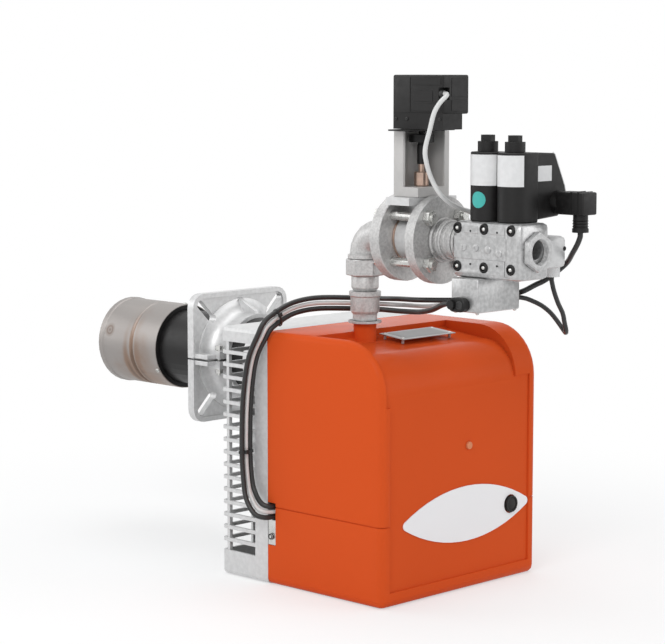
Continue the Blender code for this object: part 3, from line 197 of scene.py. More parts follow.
def add_math(tree, operation, *values):
    """Maths on sockets and numbers; returns the result's socket."""
    node = tree.nodes.new("ShaderNodeMath")
    node.operation = operation
    for socket, value in zip(node.inputs, values):
        if isinstance(value, float):
            socket.default_value = value
        else:
            tree.links.new(value, socket)
    return node.outputs["Value"]


def add_range(tree, value, start, end):
    """How far a value is from start to end, between 0 and 1; returns its socket."""
    node = tree.nodes.new("ShaderNodeMapRange")
    node.inputs["From Min"].default_value = start
    node.inputs["From Max"].default_value = end
    tree.links.new(value, node.inputs["Value"])
    return node.outputs["Result"]


def add_mix(tree, factor, first, second):
    """Two shaders mixed by a factor; returns the result's socket."""
    mix = tree.nodes.new("ShaderNodeMixShader")
    for socket, source in zip(mix.inputs, (factor, first, second)):
        tree.links.new(source, socket)
    return mix.outputs["Shader"]


def shade(colour, amount):
    """A colour made lighter or darker."""
    return tuple(max(0.0, min(1.0, c * amount)) for c in colour)


def surface(name, colour, metallic, rough, mottle, scale, grain, relief, depth, gloss=0.5,
            stretch=(1, 1, 1)):
    """A finish with cloudy colour, varied roughness and a fine grain.

    Mottle is the strength of the clouds and scale their fineness; relief and depth are the grain's.
    """
    mat, tree, shader = shader_nodes(name)
    cloud = add_noise(tree, scale, 5.0, stretch)
    tones = add_ramp(tree, cloud, [(0.3, shade(colour, 1 - mottle)), (0.7, shade(colour, 1 + mottle))])
    tree.links.new(tones, shader.inputs["Base Color"])
    worn = add_ramp(tree, cloud, [(0.3, (rough * 0.88,) * 3), (0.7, (min(rough * 1.12, 1),) * 3)])
    tree.links.new(worn, shader.inputs["Roughness"])
    shader.inputs["Metallic"].default_value = metallic
    shader.inputs["Specular IOR Level"].default_value = gloss
    add_bump(tree, shader, add_noise(tree, grain, 3.0, stretch), relief, depth)
    return mat


def heat_tinted(name, colour, tint):
    """Stainless steel that has been hot: brown bloom near the groove and along the underside."""
    mat, tree, shader = shader_nodes(name)
    place = tree.nodes.new("ShaderNodeTexCoord").outputs["Object"]
    split = tree.nodes.new("ShaderNodeSeparateXYZ")
    tree.links.new(place, split.inputs["Vector"])
    along = add_ramp(tree, add_range(tree, split.outputs["Y"], *HEAD_SPAN),
                     [(0.0, (0.20,) * 3), (0.26, (0.45,) * 3), (0.36, (0.80,) * 3), (0.40, (0.35,) * 3),
                      (0.42, (1.5,) * 3), (0.45, (1.3,) * 3), (0.475, (0.45,) * 3), (0.53, (0.85,) * 3),
                      (0.62, (0.25,) * 3), (1.0, (0.12,) * 3)])
    low = add_range(tree, split.outputs["Z"], *TINT_SPAN)
    bloom = add_math(tree, "MULTIPLY", along, low)
    cloud = add_math(tree, "MULTIPLY_ADD", add_noise(tree, 22.0, 4.0), 0.5, bloom)
    colours = add_ramp(tree, cloud, [(0.30, colour), (0.75, shade(tint, 1.45)), (1.0, tint)])
    spot = tree.nodes.new("ShaderNodeVectorMath")
    spot.operation = "DISTANCE"
    spot.inputs[1].default_value = WELD_SPOT
    tree.links.new(place, spot.inputs[0])
    burn = add_ramp(tree, add_range(tree, spot.outputs["Value"], 0.0, WELD_REACH),
                    [(0.0, (0.75,) * 3), (0.30, (0.35,) * 3), (0.45, (0.75,) * 3), (0.70, (0.25,) * 3),
                     (0.95, (0.0,) * 3)])
    marked = tree.nodes.new("ShaderNodeMix")
    marked.data_type = "RGBA"
    tree.links.new(burn, marked.inputs["Factor"])
    tree.links.new(colours, marked.inputs["A"])
    marked.inputs["B"].default_value = (*shade(tint, 0.8), 1.0)
    tree.links.new(marked.outputs["Result"], shader.inputs["Base Color"])
    shader.inputs["Metallic"].default_value = 0.60
    shader.inputs["Roughness"].default_value = 0.45
    add_bump(tree, shader, add_noise(tree, 500.0, 3.0, (1, 0.06, 1)), 0.12, 0.0002)
    return mat


def seen_directly(tree):
    """A factor that is 1 for the camera, for mirrors and through glass; returns its socket."""
    path = tree.nodes.new("ShaderNodeLightPath")
    total = path.outputs["Is Camera Ray"]
    for ray in ("Is Glossy Ray", "Is Transmission Ray"):
        total = add_math(tree, "MAXIMUM", total, path.outputs[ray])
    return total


def finishes():
    """Every finish, made once and kept by name."""
    tones = bpy.context.scene.burner_colours
    made = {mat["finish"]: mat for mat in bpy.data.materials if "finish" in mat}
    if made:
        return made
    # Name, colour, metallic, rough, mottle, scale, grain, relief and depth; gloss and stretch if not usual
    rows = (
        ("cover_plastic", tones.cover, 0.0, 0.24, 0.006, 9.0, 1400.0, 0.02, 0.00005, 0.03),
        ("cast_metal", tones.casting, 0.40, 0.50, 0.06, 160.0, 1500.0, 0.30, 0.0003),
        ("bright_casting", shade(tones.casting, 0.98), 0.55, 0.42, 0.07, 160.0, 1200.0, 0.25, 0.0003),
        ("pipe_metal", tones.pipework, 0.50, 0.44, 0.14, 330.0, 700.0, 0.30, 0.0003),
        ("valve_metal", tones.valve, 0.60, 0.34, 0.14, 210.0, 900.0, 0.22, 0.0002),
        ("zinc_metal", (0.60, 0.60, 0.58), 0.85, 0.28, 0.10, 120.0, 900.0, 0.10, 0.0001),
        ("copper_metal", (0.50, 0.36, 0.29), 0.85, 0.35, 0.15, 90.0, 800.0, 0.12, 0.0001),
        ("black_moulding", tones.plastic, 0.0, 0.50, 0.15, 160.0, 2200.0, 0.25, 0.0002, 0.30),
        ("black_paintwork", tones.paint, 0.0, 0.42, 0.15, 120.0, 1200.0, 0.18, 0.0002, 0.25),
        ("black_sheath", (0.016, 0.016, 0.016), 0.0, 0.42, 0.10, 50.0, 1500.0, 0.08, 0.0001),
        ("white_sheath", (0.66, 0.66, 0.65), 0.0, 0.38, 0.04, 50.0, 1500.0, 0.06, 0.0001),
        ("label_paper", tones.label, 0.0, 0.45, 0.03, 150.0, 1500.0, 0.04, 0.0001),
        ("teal_paper", (0.05, 0.42, 0.38), 0.0, 0.45, 0.05, 150.0, 1500.0, 0.04, 0.0001),
        ("plate_metal", (0.40, 0.40, 0.40), 0.30, 0.45, 0.05, 60.0, 900.0, 0.06, 0.0001, 0.5, (1, 8, 1)),
        ("panel_plastic", (0.84, 0.84, 0.85), 0.0, 0.40, 0.006, 8.0, 1500.0, 0.03, 0.0001, 0.3),
        ("tinted_screw", (0.62, 0.22, 0.10), 0.30, 0.35, 0.06, 200.0, 900.0, 0.05, 0.0001, 0.4),
        ("dull_field", (0.24, 0.24, 0.24), 0.10, 0.50, 0.08, 60.0, 900.0, 0.05, 0.0001),
        ("tie_plastic", (0.012, 0.012, 0.012), 0.0, 0.35, 0.08, 90.0, 1500.0, 0.05, 0.0001),
        ("bracket_metal", (0.49, 0.48, 0.47), 0.25, 0.45, 0.06, 35.0, 1200.0, 0.25, 0.0002),
        ("ceramic", (0.72, 0.70, 0.66), 0.0, 0.30, 0.04, 60.0, 900.0, 0.04, 0.0001),
    )
    made = {row[0]: surface(*row) for row in rows}
    made["sleeve_steel"] = heat_tinted("sleeve_steel", tones.sleeve, tones.tint)
    for name, mat in made.items():
        mat["finish"] = name
    return made


# Ways to make a piece

def keep(name, bm, finish, body, edge=0.0, segments=2, angle=30):
    """Turn a bmesh into a piece that rides on a body."""
    mesh = bpy.data.meshes.new(name)
    bm.to_mesh(mesh)
    bm.free()
    mesh.shade_smooth()
    mesh.set_sharp_from_angle(angle=math.radians(angle))
    piece = bpy.data.objects.new(name, mesh)
    bpy.context.scene.collection.objects.link(piece)
    mesh.materials.append(finishes()[finish])
    if edge:
        soften = piece.modifiers.new("soft_edges", "BEVEL")
        soften.width = edge
        soften.segments = segments
        soften.limit_method = "ANGLE"
        soften.angle_limit = math.radians(angle)
        soften.harden_normals = True
    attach(piece, body)
    return piece


def cut_out(bm, low, high):
    """A bmesh without the box between two corners."""
    scene = bpy.context.scene
    whole = bpy.data.objects.new("uncut", bpy.data.meshes.new("uncut"))
    tool = bpy.data.objects.new("slit", bpy.data.meshes.new("slit"))
    bm.to_mesh(whole.data)
    bm.clear()
    add_block(bm, low, high)
    bm.to_mesh(tool.data)
    bm.clear()
    for helper in (whole, tool):
        scene.collection.objects.link(helper)
    trim = whole.modifiers.new("slit", "BOOLEAN")
    trim.operation = "DIFFERENCE"
    trim.solver = "EXACT"
    trim.object = tool
    bpy.context.view_layer.update()
    cut = whole.evaluated_get(bpy.context.evaluated_depsgraph_get())
    bm.from_mesh(cut.to_mesh())
    cut.to_mesh_clear()
    for helper in (whole, tool):
        bpy.data.objects.remove(helper)
    return bm


def dress(node, finish, edge=0.0005, segments=2, angle=30, slit=None):
    """A CAD node's own form with welded faces, softened edges and a real finish.

    A slit is a box, given by two corners, that is cut out of it.
    """
    bm = bmesh.new()
    bm.from_mesh(frame["nodes"][node].data)
    bmesh.ops.remove_doubles(bm, verts=bm.verts, dist=0.000002)
    if slit:
        bm = cut_out(bm, *slit)
    bmesh.ops.dissolve_limit(bm, angle_limit=math.radians(0.6), verts=bm.verts, edges=bm.edges)
    piece = keep(node + "_dressed", bm, finish, part_body(node), edge, segments, angle)
    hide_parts(node)
    return piece


def turn_to(axis):
    """Rotation that takes +Z to a direction."""
    return Vector((0, 0, 1)).rotation_difference(Vector(axis)).to_matrix().to_4x4()


def add_rod(bm, centre, radius, length, axis, segments):
    """Add a cylinder to a bmesh; centre is its middle."""
    place = Matrix.Translation(centre) @ turn_to(axis)
    return bmesh.ops.create_cone(bm, cap_ends=True, segments=segments, radius1=radius, radius2=radius,
                                 depth=length, matrix=place)["verts"]


def add_block(bm, low, high):
    """Add a box between two corners to a bmesh."""
    size = [high[i] - low[i] for i in range(3)]
    middle = [(high[i] + low[i]) / 2 for i in range(3)]
    place = Matrix.Translation(middle) @ Matrix.Diagonal((*size, 1.0))
    bmesh.ops.create_cube(bm, size=1.0, matrix=place)


def add_turned(bm, profile, centre, axis, segments=32):
    """Add a turned form from (radius, height) points, closed if it ends on the axis."""
    place = Matrix.Translation(centre) @ turn_to(axis)
    verts = [bm.verts.new(place @ Vector((r, 0.0, h))) for r, h in profile]
    edges = [bm.edges.new(pair) for pair in zip(verts, verts[1:])]
    if profile[0][0] > 0:
        edges.append(bm.edges.new((verts[-1], verts[0])))
    bmesh.ops.spin(bm, geom=verts + edges, cent=Vector(centre), axis=Vector(axis), dvec=(0, 0, 0),
                   angle=2 * math.pi, steps=segments, use_merge=True, use_duplicate=False)
    bmesh.ops.remove_doubles(bm, verts=bm.verts, dist=0.000005)
    bmesh.ops.recalc_face_normals(bm, faces=bm.faces)


def add_screw(bm, at, axis, radius, height, recess=0.5, segments=24):
    """Add a pan head with a sunk middle to a bmesh; at is the middle of its underside."""
    sunk = radius * recess
    add_turned(bm, [(0, height * 0.45), (sunk * 0.9, height * 0.45), (sunk, height * 0.97),
                    (radius * 0.72, height), (radius * 0.93, height * 0.82), (radius, height * 0.5),
                    (radius, 0), (0, 0)], at, axis, segments)


def add_dome(bm, at, axis, radius, height, segments=20):
    """Add a round-topped stud end to a bmesh; at is the middle of its foot."""
    steps = 5
    profile = [(0, height)]
    for i in range(1, steps + 1):
        turn = math.radians(90 * i / steps)
        profile.append((radius * math.sin(turn), height * (0.45 + 0.55 * math.cos(turn))))
    add_turned(bm, profile + [(radius, 0), (0, 0)], at, axis, segments)


def moved_verts(grown):
    """The new vertices that an extrusion gives back."""
    return [item for item in grown["geom"] if isinstance(item, bmesh.types.BMVert)]


def wrapped_label(name, centre, radius, span, heights, finish, body):
    """A bare label round part of an upright cylinder; span is its two angles in degrees."""
    bm = bmesh.new()
    start = math.radians(span[0])
    across = Vector((math.cos(start), math.sin(start), 0)) * radius
    foot = bm.verts.new(Vector((centre[0], centre[1], heights[0])) + across)
    head = bm.verts.new(Vector((centre[0], centre[1], heights[1])) + across)
    side = bm.edges.new((foot, head))
    bmesh.ops.spin(bm, geom=[foot, head, side], cent=(centre[0], centre[1], 0), axis=(0, 0, 1),
                   dvec=(0, 0, 0), angle=math.radians(span[1] - span[0]), steps=28, use_duplicate=False)
    bmesh.ops.recalc_face_normals(bm, faces=bm.faces)
    bmesh.ops.solidify(bm, geom=list(bm.faces), thickness=bpy.context.scene.burner_sizes.label_thickness)
    bmesh.ops.recalc_face_normals(bm, faces=bm.faces)
    return keep(name, bm, finish, body)


def flat_label(name, corner, across, up, finish, body):
    """A bare label on a flat face, from one corner and two edge vectors."""
    bm = bmesh.new()
    across = Vector(across)
    up = Vector(up)
    out = across.cross(up).normalized() * bpy.context.scene.burner_sizes.label_thickness
    spots = [Vector(corner), Vector(corner) + across, Vector(corner) + across + up, Vector(corner) + up]
    face = bm.faces.new([bm.verts.new(spot) for spot in spots])
    grown = bmesh.ops.extrude_face_region(bm, geom=[face])
    bmesh.ops.translate(bm, vec=out, verts=moved_verts(grown))
    bmesh.ops.recalc_face_normals(bm, faces=bm.faces)
    return keep(name, bm, finish, body)


def smooth_route(points, step, count=0):
    """Evenly spaced points on a smooth curve through the given ones, a step apart or in a set count."""
    knots = [Vector(p) for p in points]
    knots = [2 * knots[0] - knots[1]] + knots + [2 * knots[-1] - knots[-2]]
    fine = []
    for a, b, c, d in zip(knots, knots[1:], knots[2:], knots[3:]):
        for i in range(16):
            t = i / 16
            fine.append(0.5 * (2 * b + (c - a) * t + (2 * a - 5 * b + 4 * c - d) * t * t
                               + (3 * b - a - 3 * c + d) * t ** 3))
    fine.append(knots[-2])
    total = sum((b - a).length for a, b in zip(fine, fine[1:]))
    count = count or max(2, round(total / step))
    spaced = [fine[0]]
    travelled = 0.0
    for a, b in zip(fine, fine[1:]):
        leg = (b - a).length
        while len(spaced) < count and travelled + leg >= total * len(spaced) / count:
            spaced.append(a.lerp(b, (total * len(spaced) / count - travelled) / leg))
        travelled += leg
    return spaced + [fine[-1]]


# The cables' routes, which their solids also follow

# A step of a cable's own stretch in diameters, and the number of steps along the tied bundle
CABLE_STEP = 0.9
BUNDLE_STEPS = 102

# Places of the bundle's middle cable, each with the way from it to the cable in lane 1
BUNDLE = (((-0.0193, -0.1300, 0.3796), (0, 0, 0.0075)),
          ((-0.0183, -0.0950, 0.3775), (0, 0, 0.0075)),
          ((-0.0272, -0.0750, 0.3774), (0, 0, 0.0075)),
          ((-0.0706, -0.0600, 0.3796), (0, 0, 0.0075)),
          ((-0.1038, -0.0550, 0.3777), (0, 0, 0.0075)),
          ((-0.1322, -0.0550, 0.3716), (-0.0025, 0, 0.0071)),
          ((-0.1645, -0.0570, 0.3580), (-0.0054, 0, 0.0058)),
          ((-0.1705, -0.0500, 0.3420), (-0.0076, 0, 0.0022)),
          ((-0.1700, -0.0299, 0.3077), (-0.0075, 0, 0)),
          ((-0.1700, -0.0195, 0.2521), (-0.0075, 0, 0)),
          ((-0.1700, -0.0171, 0.1830), (-0.0075, 0, 0)),
          ((-0.1705, -0.0210, 0.1418), (-0.0078, 0, 0)),
          ((-0.1716, -0.0280, 0.1215), (-0.0082, 0, -0.0036)),
          ((-0.1725, -0.0415, 0.1070), (-0.0056, 0, -0.0072)),
          ((-0.1680, -0.0512, 0.1025), (-0.0022, 0, -0.0076)),
          ((-0.1575, -0.0553, 0.1012), (0, 0, -0.0072)),
          ((-0.1490, -0.0555, 0.1012), (0, 0, -0.0072)),
          ((-0.1430, -0.0555, 0.1012), (0, 0, -0.0072)))

VALVE_ROUTE = [(0.0045, -0.4488, 0.4927), (0.0045, -0.4488, 0.4877), (0.0070, -0.4430, 0.4785),
               (0.0130, -0.4300, 0.4650), (0.0260, -0.4086, 0.4489), (0.0140, -0.3876, 0.4291),
               (0.0030, -0.3777, 0.4216), (-0.0040, -0.3601, 0.4118), (-0.0060, -0.3300, 0.4050),
               (-0.0260, -0.2875, 0.3980), (-0.0480, -0.2300, 0.3949), (-0.0300, -0.1700, 0.3905)]

SERVO_ROUTE = [(-0.0785, -0.2881, 0.6660), (-0.0785, -0.2930, 0.6660), (-0.0815, -0.2995, 0.6655),
               (-0.0905, -0.3055, 0.6625), (-0.1020, -0.3070, 0.6560), (-0.1125, -0.3060, 0.6430),
               (-0.1175, -0.3030, 0.6210), (-0.1228, -0.3000, 0.5959), (-0.1191, -0.3000, 0.5770),
               (-0.1094, -0.3000, 0.5577), (-0.0997, -0.3050, 0.5398), (-0.0805, -0.3050, 0.5275),
               (-0.0574, -0.3050, 0.5187), (-0.0416, -0.3050, 0.5143), (-0.0200, -0.3020, 0.5000),
               (-0.0110, -0.2990, 0.4750), (-0.0080, -0.2960, 0.4450), (0.0000, -0.2850, 0.4200),
               (-0.0040, -0.2620, 0.3960), (-0.0180, -0.2200, 0.3840), (-0.0200, -0.1700, 0.3815)]

SWITCH_ROUTE = [(-0.1035, -0.3266, 0.4015), (-0.1035, -0.3215, 0.4015), (-0.1000, -0.3100, 0.3985),
                (-0.0850, -0.2800, 0.3890), (-0.0680, -0.2500, 0.3830), (-0.0500, -0.2200, 0.3785),
                (-0.0290, -0.1700, 0.3740)]

LINK_ROUTE = [(0.0055, -0.4028, 0.4337), (0.0055, -0.4028, 0.4290), (0.0072, -0.4052, 0.4160),
              (0.0100, -0.4102, 0.4000), (0.0139, -0.4149, 0.3870), (0.0148, -0.4171, 0.3755),
              (0.0198, -0.4160, 0.3650), (0.0277, -0.4089, 0.3603), (0.0330, -0.3991, 0.3650),
              (0.0309, -0.3908, 0.3755), (0.0253, -0.3851, 0.3850), (0.0183, -0.3794, 0.3925),
              (0.0109, -0.3748, 0.3975), (-0.0004, -0.3663, 0.4035), (-0.0095, -0.3600, 0.4055),
              (-0.0152, -0.3600, 0.4055)]


def add_cable(name, route, diameter, finish):
    """One cable as a round curve that stands for its solid."""
    curve = bpy.data.curves.new(name + "_sheath", "CURVE")
    curve.dimensions = "3D"
    curve.bevel_depth = diameter / 2
    curve.bevel_resolution = 5
    curve.use_fill_caps = True
    spline = curve.splines.new("POLY")
    spline.points.add(len(route) - 1)
    for spot, place in zip(spline.points, route):
        spot.co = (*place, 1.0)
    curve.materials.append(finishes()[finish])
    piece = bpy.data.objects.new(name + "_sheath", curve)
    bpy.context.scene.collection.objects.link(piece)
    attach(piece, part_body(name))
    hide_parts(name)
    return piece


def lane_route(points, diameter, lane):
    """A cable's own points, then its lane of the tied bundle down to the clamp."""
    along = [Vector(place) + lane * Vector(offset) for place, offset in BUNDLE]
    route = [Vector(points[0])] + smooth_route(points[1:] + along[:1], diameter * CABLE_STEP)
    return route + smooth_route(along[:-1], 0, BUNDLE_STEPS)[1:] + [along[-1]]


# The object's pieces

class BURNER_OT_stage(bpy.types.Operator):
    """Camera, soft light and a pale floor"""
    bl_idname = "burner.stage"
    bl_label = "Stage"

    def execute(self, context):
        scene = context.scene
        scene.view_settings.view_transform = "Standard"
        self.place_camera(scene)
        self.light_world(scene)
        self.lay_floor(scene)
        self.hang_lamps(scene)
        return {"FINISHED"}

    def place_camera(self, scene):
        """The photograph's view."""
        data = bpy.data.cameras.new("burner_camera")
        data.lens = scene.burner_sizes.lens
        data.sensor_width = SENSOR_WIDTH
        data.clip_end = 50.0
        camera = bpy.data.objects.new("burner_camera", data)
        scene.collection.objects.link(camera)
        ahead = Vector(CAMERA_AHEAD).normalized()
        right = ahead.cross(Vector((0, 0, 1))).normalized()
        up = right.cross(ahead)
        turn = Matrix((right, up, -ahead)).transposed().to_4x4()
        camera.matrix_world = Matrix.Translation(CAMERA_PLACE) @ turn
        scene.camera = camera

    def light_world(self, scene):
        """A soft grey light all round, which looks white where it is seen."""
        world = bpy.data.worlds.new("studio")
        scene.world = world
        world.use_nodes = True
        tree = world.node_tree
        soft = tree.nodes["Background"]
        soft.inputs["Color"].default_value = (0.92, 0.94, 0.96, 1)
        soft.inputs["Strength"].default_value = 0.50
        white = tree.nodes.new("ShaderNodeBackground")
        white.inputs["Color"].default_value = (1, 1, 1, 1)
        seen = add_mix(tree, seen_directly(tree), soft.outputs["Background"], white.outputs["Background"])
        tree.links.new(seen, tree.nodes["World Output"].inputs["Surface"])

    def lay_floor(self, scene):
        """A pale floor that holds the shadow and fades to white away from the burner."""
        bm = bmesh.new()
        bmesh.ops.create_grid(bm, x_segments=1, y_segments=1, size=FLOOR_REACH,
                              matrix=Matrix.Translation((0, 0, -FLOOR_DROP)))
        mesh = bpy.data.meshes.new("studio_floor")
        bm.to_mesh(mesh)
        bm.free()
        floor = bpy.data.objects.new("studio_floor", mesh)
        scene.collection.objects.link(floor)
        mat, tree, shader = shader_nodes("floor_paper")
        shader.inputs["Base Color"].default_value = (0.93, 0.93, 0.93, 1)
        shader.inputs["Roughness"].default_value = 0.9
        glow = tree.nodes.new("ShaderNodeEmission")
        glow.inputs["Color"].default_value = (1, 1, 1, 1)
        place = tree.nodes.new("ShaderNodeTexCoord")
        reach = tree.nodes.new("ShaderNodeVectorMath")
        reach.operation = "LENGTH"
        tree.links.new(place.outputs["Object"], reach.inputs[0])
        fade = tree.nodes.new("ShaderNodeMapRange")
        fade.interpolation_type = "SMOOTHSTEP"
        fade.inputs["From Min"].default_value, fade.inputs["To Min"].default_value = GLOW_FROM
        fade.inputs["From Max"].default_value, fade.inputs["To Max"].default_value = GLOW_TO
        tree.links.new(reach.outputs["Value"], fade.inputs["Value"])
        share = add_math(tree, "MULTIPLY", seen_directly(tree), fade.outputs["Result"])
        paper = add_mix(tree, share, shader.outputs["BSDF"], glow.outputs["Emission"])
        tree.links.new(paper, tree.nodes["Material Output"].inputs["Surface"])
        mesh.materials.append(mat)

    def hang_lamps(self, scene):
        """Four square softboxes turned to the middle of the burner."""
        for name, at, size, power in LAMPS:
            light = bpy.data.lights.new(name, "AREA")
            light.shape = "SQUARE"
            light.size = size
            light.energy = power
            lamp = bpy.data.objects.new(name, light)
            turn = (LAMP_AIM - Vector(at)).to_track_quat("-Z", "Y").to_matrix().to_4x4()
            lamp.matrix_world = Matrix.Translation(at) @ turn
            scene.collection.objects.link(lamp)


class BURNER_OT_cables(bpy.types.Operator):
    """Leads of the valve, the servo and the switches, with the ties that hold them"""
    bl_idname = "burner.cables"
    bl_label = "Cables"

    def execute(self, context):
        thick = context.scene.burner_sizes.control_lead
        thin = context.scene.burner_sizes.servo_lead
        route = lane_route(VALVE_ROUTE, thick, 1)
        valve = add_cable("cable_valve", route, thick, "black_sheath")
        route = lane_route(SERVO_ROUTE, thin, 0)
        servo = add_cable("cable_servo", route, thin, "white_sheath")
        route = lane_route(SWITCH_ROUTE, thick, -1)
        switch = add_cable("cable_switch", route, thick, "black_sheath")
        ends = [Vector(LINK_ROUTE[0]), Vector(LINK_ROUTE[-1])]
        route = [ends[0]] + smooth_route(LINK_ROUTE[1:-1], thin * CABLE_STEP) + [ends[1]]
        link = add_cable("cable_link", route, thin, "black_sheath")

        self.ties()
        return {"FINISHED"}

    def ties(self):
        """Two flat bands with their locks, each round the three cables of the bundle."""
        wide_reach, thick_reach, width, wall = 0.0121, 0.0047, 0.0036, 0.0008
        for i, (first, share) in enumerate(((5, 0.45), (10, 0.05)), 1):
            here, offset = BUNDLE[first]
            there = Vector(BUNDLE[first + 1][0])
            middle = Vector(here).lerp(there, share)
            along = (there - Vector(here)).normalized()
            wide = Vector(offset).lerp(Vector(BUNDLE[first + 1][1]), share).normalized()
            wide = (wide - along * wide.dot(along)).normalized()
            place = Matrix((wide, along.cross(wide), along)).transposed().to_4x4()
            place.translation = middle
            bm = bmesh.new()
            ring = bmesh.ops.create_circle(bm, segments=32, radius=1.0)["verts"]
            bmesh.ops.scale(bm, vec=(wide_reach, thick_reach, 1.0), verts=ring)
            bmesh.ops.translate(bm, vec=(0, 0, -width / 2), verts=ring)
            grown = bmesh.ops.extrude_edge_only(bm, edges=bm.edges)
            bmesh.ops.translate(bm, vec=(0, 0, width), verts=moved_verts(grown))
            bmesh.ops.recalc_face_normals(bm, faces=bm.faces)
            bmesh.ops.solidify(bm, geom=list(bm.faces), thickness=-wall)
            add_block(bm, (0.0020, -0.0085, -0.0026), (0.0070, -0.0046, 0.0026))
            bmesh.ops.recalc_face_normals(bm, faces=bm.faces)
            bmesh.ops.transform(bm, matrix=place, verts=bm.verts)
            keep("cable_tie_%d" % i, bm, "tie_plastic", part_body("cable_servo"),
                 0.0002)


class BURNER_OT_body(bpy.types.Operator):
    """Cast body, moulded cover and what is fixed to them"""
    bl_idname = "burner.body"
    bl_label = "Body and cover"

    def execute(self, context):
        edge = context.scene.burner_sizes.soft_edge
        dress("cover", "cover_plastic", edge * 1.6, 3)
        dress("housing", "cast_metal", edge)
        dress("motor_plate", "cast_metal", edge)
        dress("front_plate", "panel_plastic", edge * 0.6)
        dress("rating_plate", "plate_metal", edge * 0.4)
        dress("reset_bezel", "black_moulding", edge)
        dress("reset_button", "black_moulding", 0)
        dress("cover_screw", "tinted_screw", edge * 0.6)
        dress("cable_clamp", "zinc_metal", edge * 0.6)
        body = part_body("cover")

        low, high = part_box("cable_clamp")
        bm = bmesh.new()
        add_screw(bm, (low.x + 0.0026, (low.y + high.y) / 2, low.z + 0.012), (-1, 0, 0), 0.0045, 0.0030)
        keep("clamp_screw_head", bm, "black_moulding", body)

        self.rating_trim(body)
        for node in ("fan_motor", "fan_impeller", "air_damper"):
            dress(node, "bright_casting", 0)
        for node in ("control_box", "transformer"):
            dress(node, "black_moulding", 0)
        return {"FINISHED"}

    def rating_trim(self, body):
        """The rating plate's bare field and its four studs."""
        low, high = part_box("rating_plate")
        middle = Matrix.Translation(((low.x + high.x) / 2, *RATING_MIDDLE))
        place = middle @ Matrix.Rotation(RATING_TILT, 4, "X")
        half_x = (high.x - low.x) / 2 - 0.0008
        half_y = 0.0217
        bm = bmesh.new()
        bmesh.ops.create_grid(bm, x_segments=1, y_segments=1, size=1.0,
                              matrix=Matrix.Diagonal((half_x - 0.0100, half_y - 0.0045, 1, 1)))
        grown = bmesh.ops.extrude_face_region(bm, geom=list(bm.faces))
        bmesh.ops.translate(bm, vec=(0, 0, 0.0003), verts=moved_verts(grown))
        bmesh.ops.recalc_face_normals(bm, faces=bm.faces)
        bmesh.ops.transform(bm, matrix=place, verts=bm.verts)
        keep("rating_field", bm, "dull_field", body)
        bm = bmesh.new()
        inset = 0.005
        for side_x in (-1, 1):
            for side_y in (-1, 1):
                add_dome(bm, (side_x * (half_x - inset), side_y * (half_y - inset), 0), (0, 0, 1), 0.0022,
                         0.0011, 16)
        bmesh.ops.transform(bm, matrix=place, verts=bm.verts)
        keep("rating_studs", bm, "zinc_metal", body)


class BURNER_OT_head(bpy.types.Operator):
    """Blast tube, head sleeve, mixing head and boiler flange"""
    bl_idname = "burner.head"
    bl_label = "Head and flange"

    def execute(self, context):
        edge = context.scene.burner_sizes.soft_edge
        dress("blast_tube", "black_paintwork", edge)
        dress("head_sleeve", "sleeve_steel", edge * 0.6)
        dress("diffuser_disc", "sleeve_steel", 0)
        dress("gas_lance", "zinc_metal", 0)
        dress("ignition_electrode", "ceramic", 0)
        dress("flame_probe", "ceramic", 0)
        low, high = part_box("flange")
        dress("flange", "bright_casting", edge, 2, 40,
              ((low.x - 0.001, FLANGE_BACK - 0.003, AXIS_Z - FLANGE_SLIT / 2),
               (FLANGE_SLIT_END, high.y + 0.001, AXIS_Z + FLANGE_SLIT / 2)))
        dress("clamp_bolt", "zinc_metal", edge * 0.5)
        bm = bmesh.new()
        for side in (-1, 1):
            floor, roof = sorted((AXIS_Z + side * 0.0015, AXIS_Z + side * 0.0080))
            add_block(bm, (low.x + 0.0018, FLANGE_LUG_Y, floor), (FLANGE_LUG_X, FLANGE_BACK + 0.004, roof))
        keep("flange_lug_webs", bm, "bright_casting", part_body("flange"),
             edge * 1.6, 3)

        # A thin black ring over the sleeve's lip face: painted shadow of the gap between the sleeve and the
        # blast tube
        bm = bmesh.new()
        add_turned(bm, [(0.0558, -0.0005), (0.0622, -0.0005), (0.0622, 0.0006), (0.0558, 0.0006)],
                   (0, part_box("head_sleeve")[0].y, AXIS_Z), (0, 1, 0), 72)
        keep("sleeve_lip_painted_shadow", bm, "black_paintwork", part_body("head_sleeve"))

        bm = bmesh.new()
        for angle in (90, 210, 330):
            out = Vector((math.cos(math.radians(angle)), 0, math.sin(math.radians(angle))))
            add_screw(bm, Vector((0, HEAD_SCREW_Y, AXIS_Z)) + out * (HEAD_R - 0.0002), out, 0.0034, 0.0024)
        keep("sleeve_screws", bm, "zinc_metal", part_body("head_sleeve"))
        return {"FINISHED"}


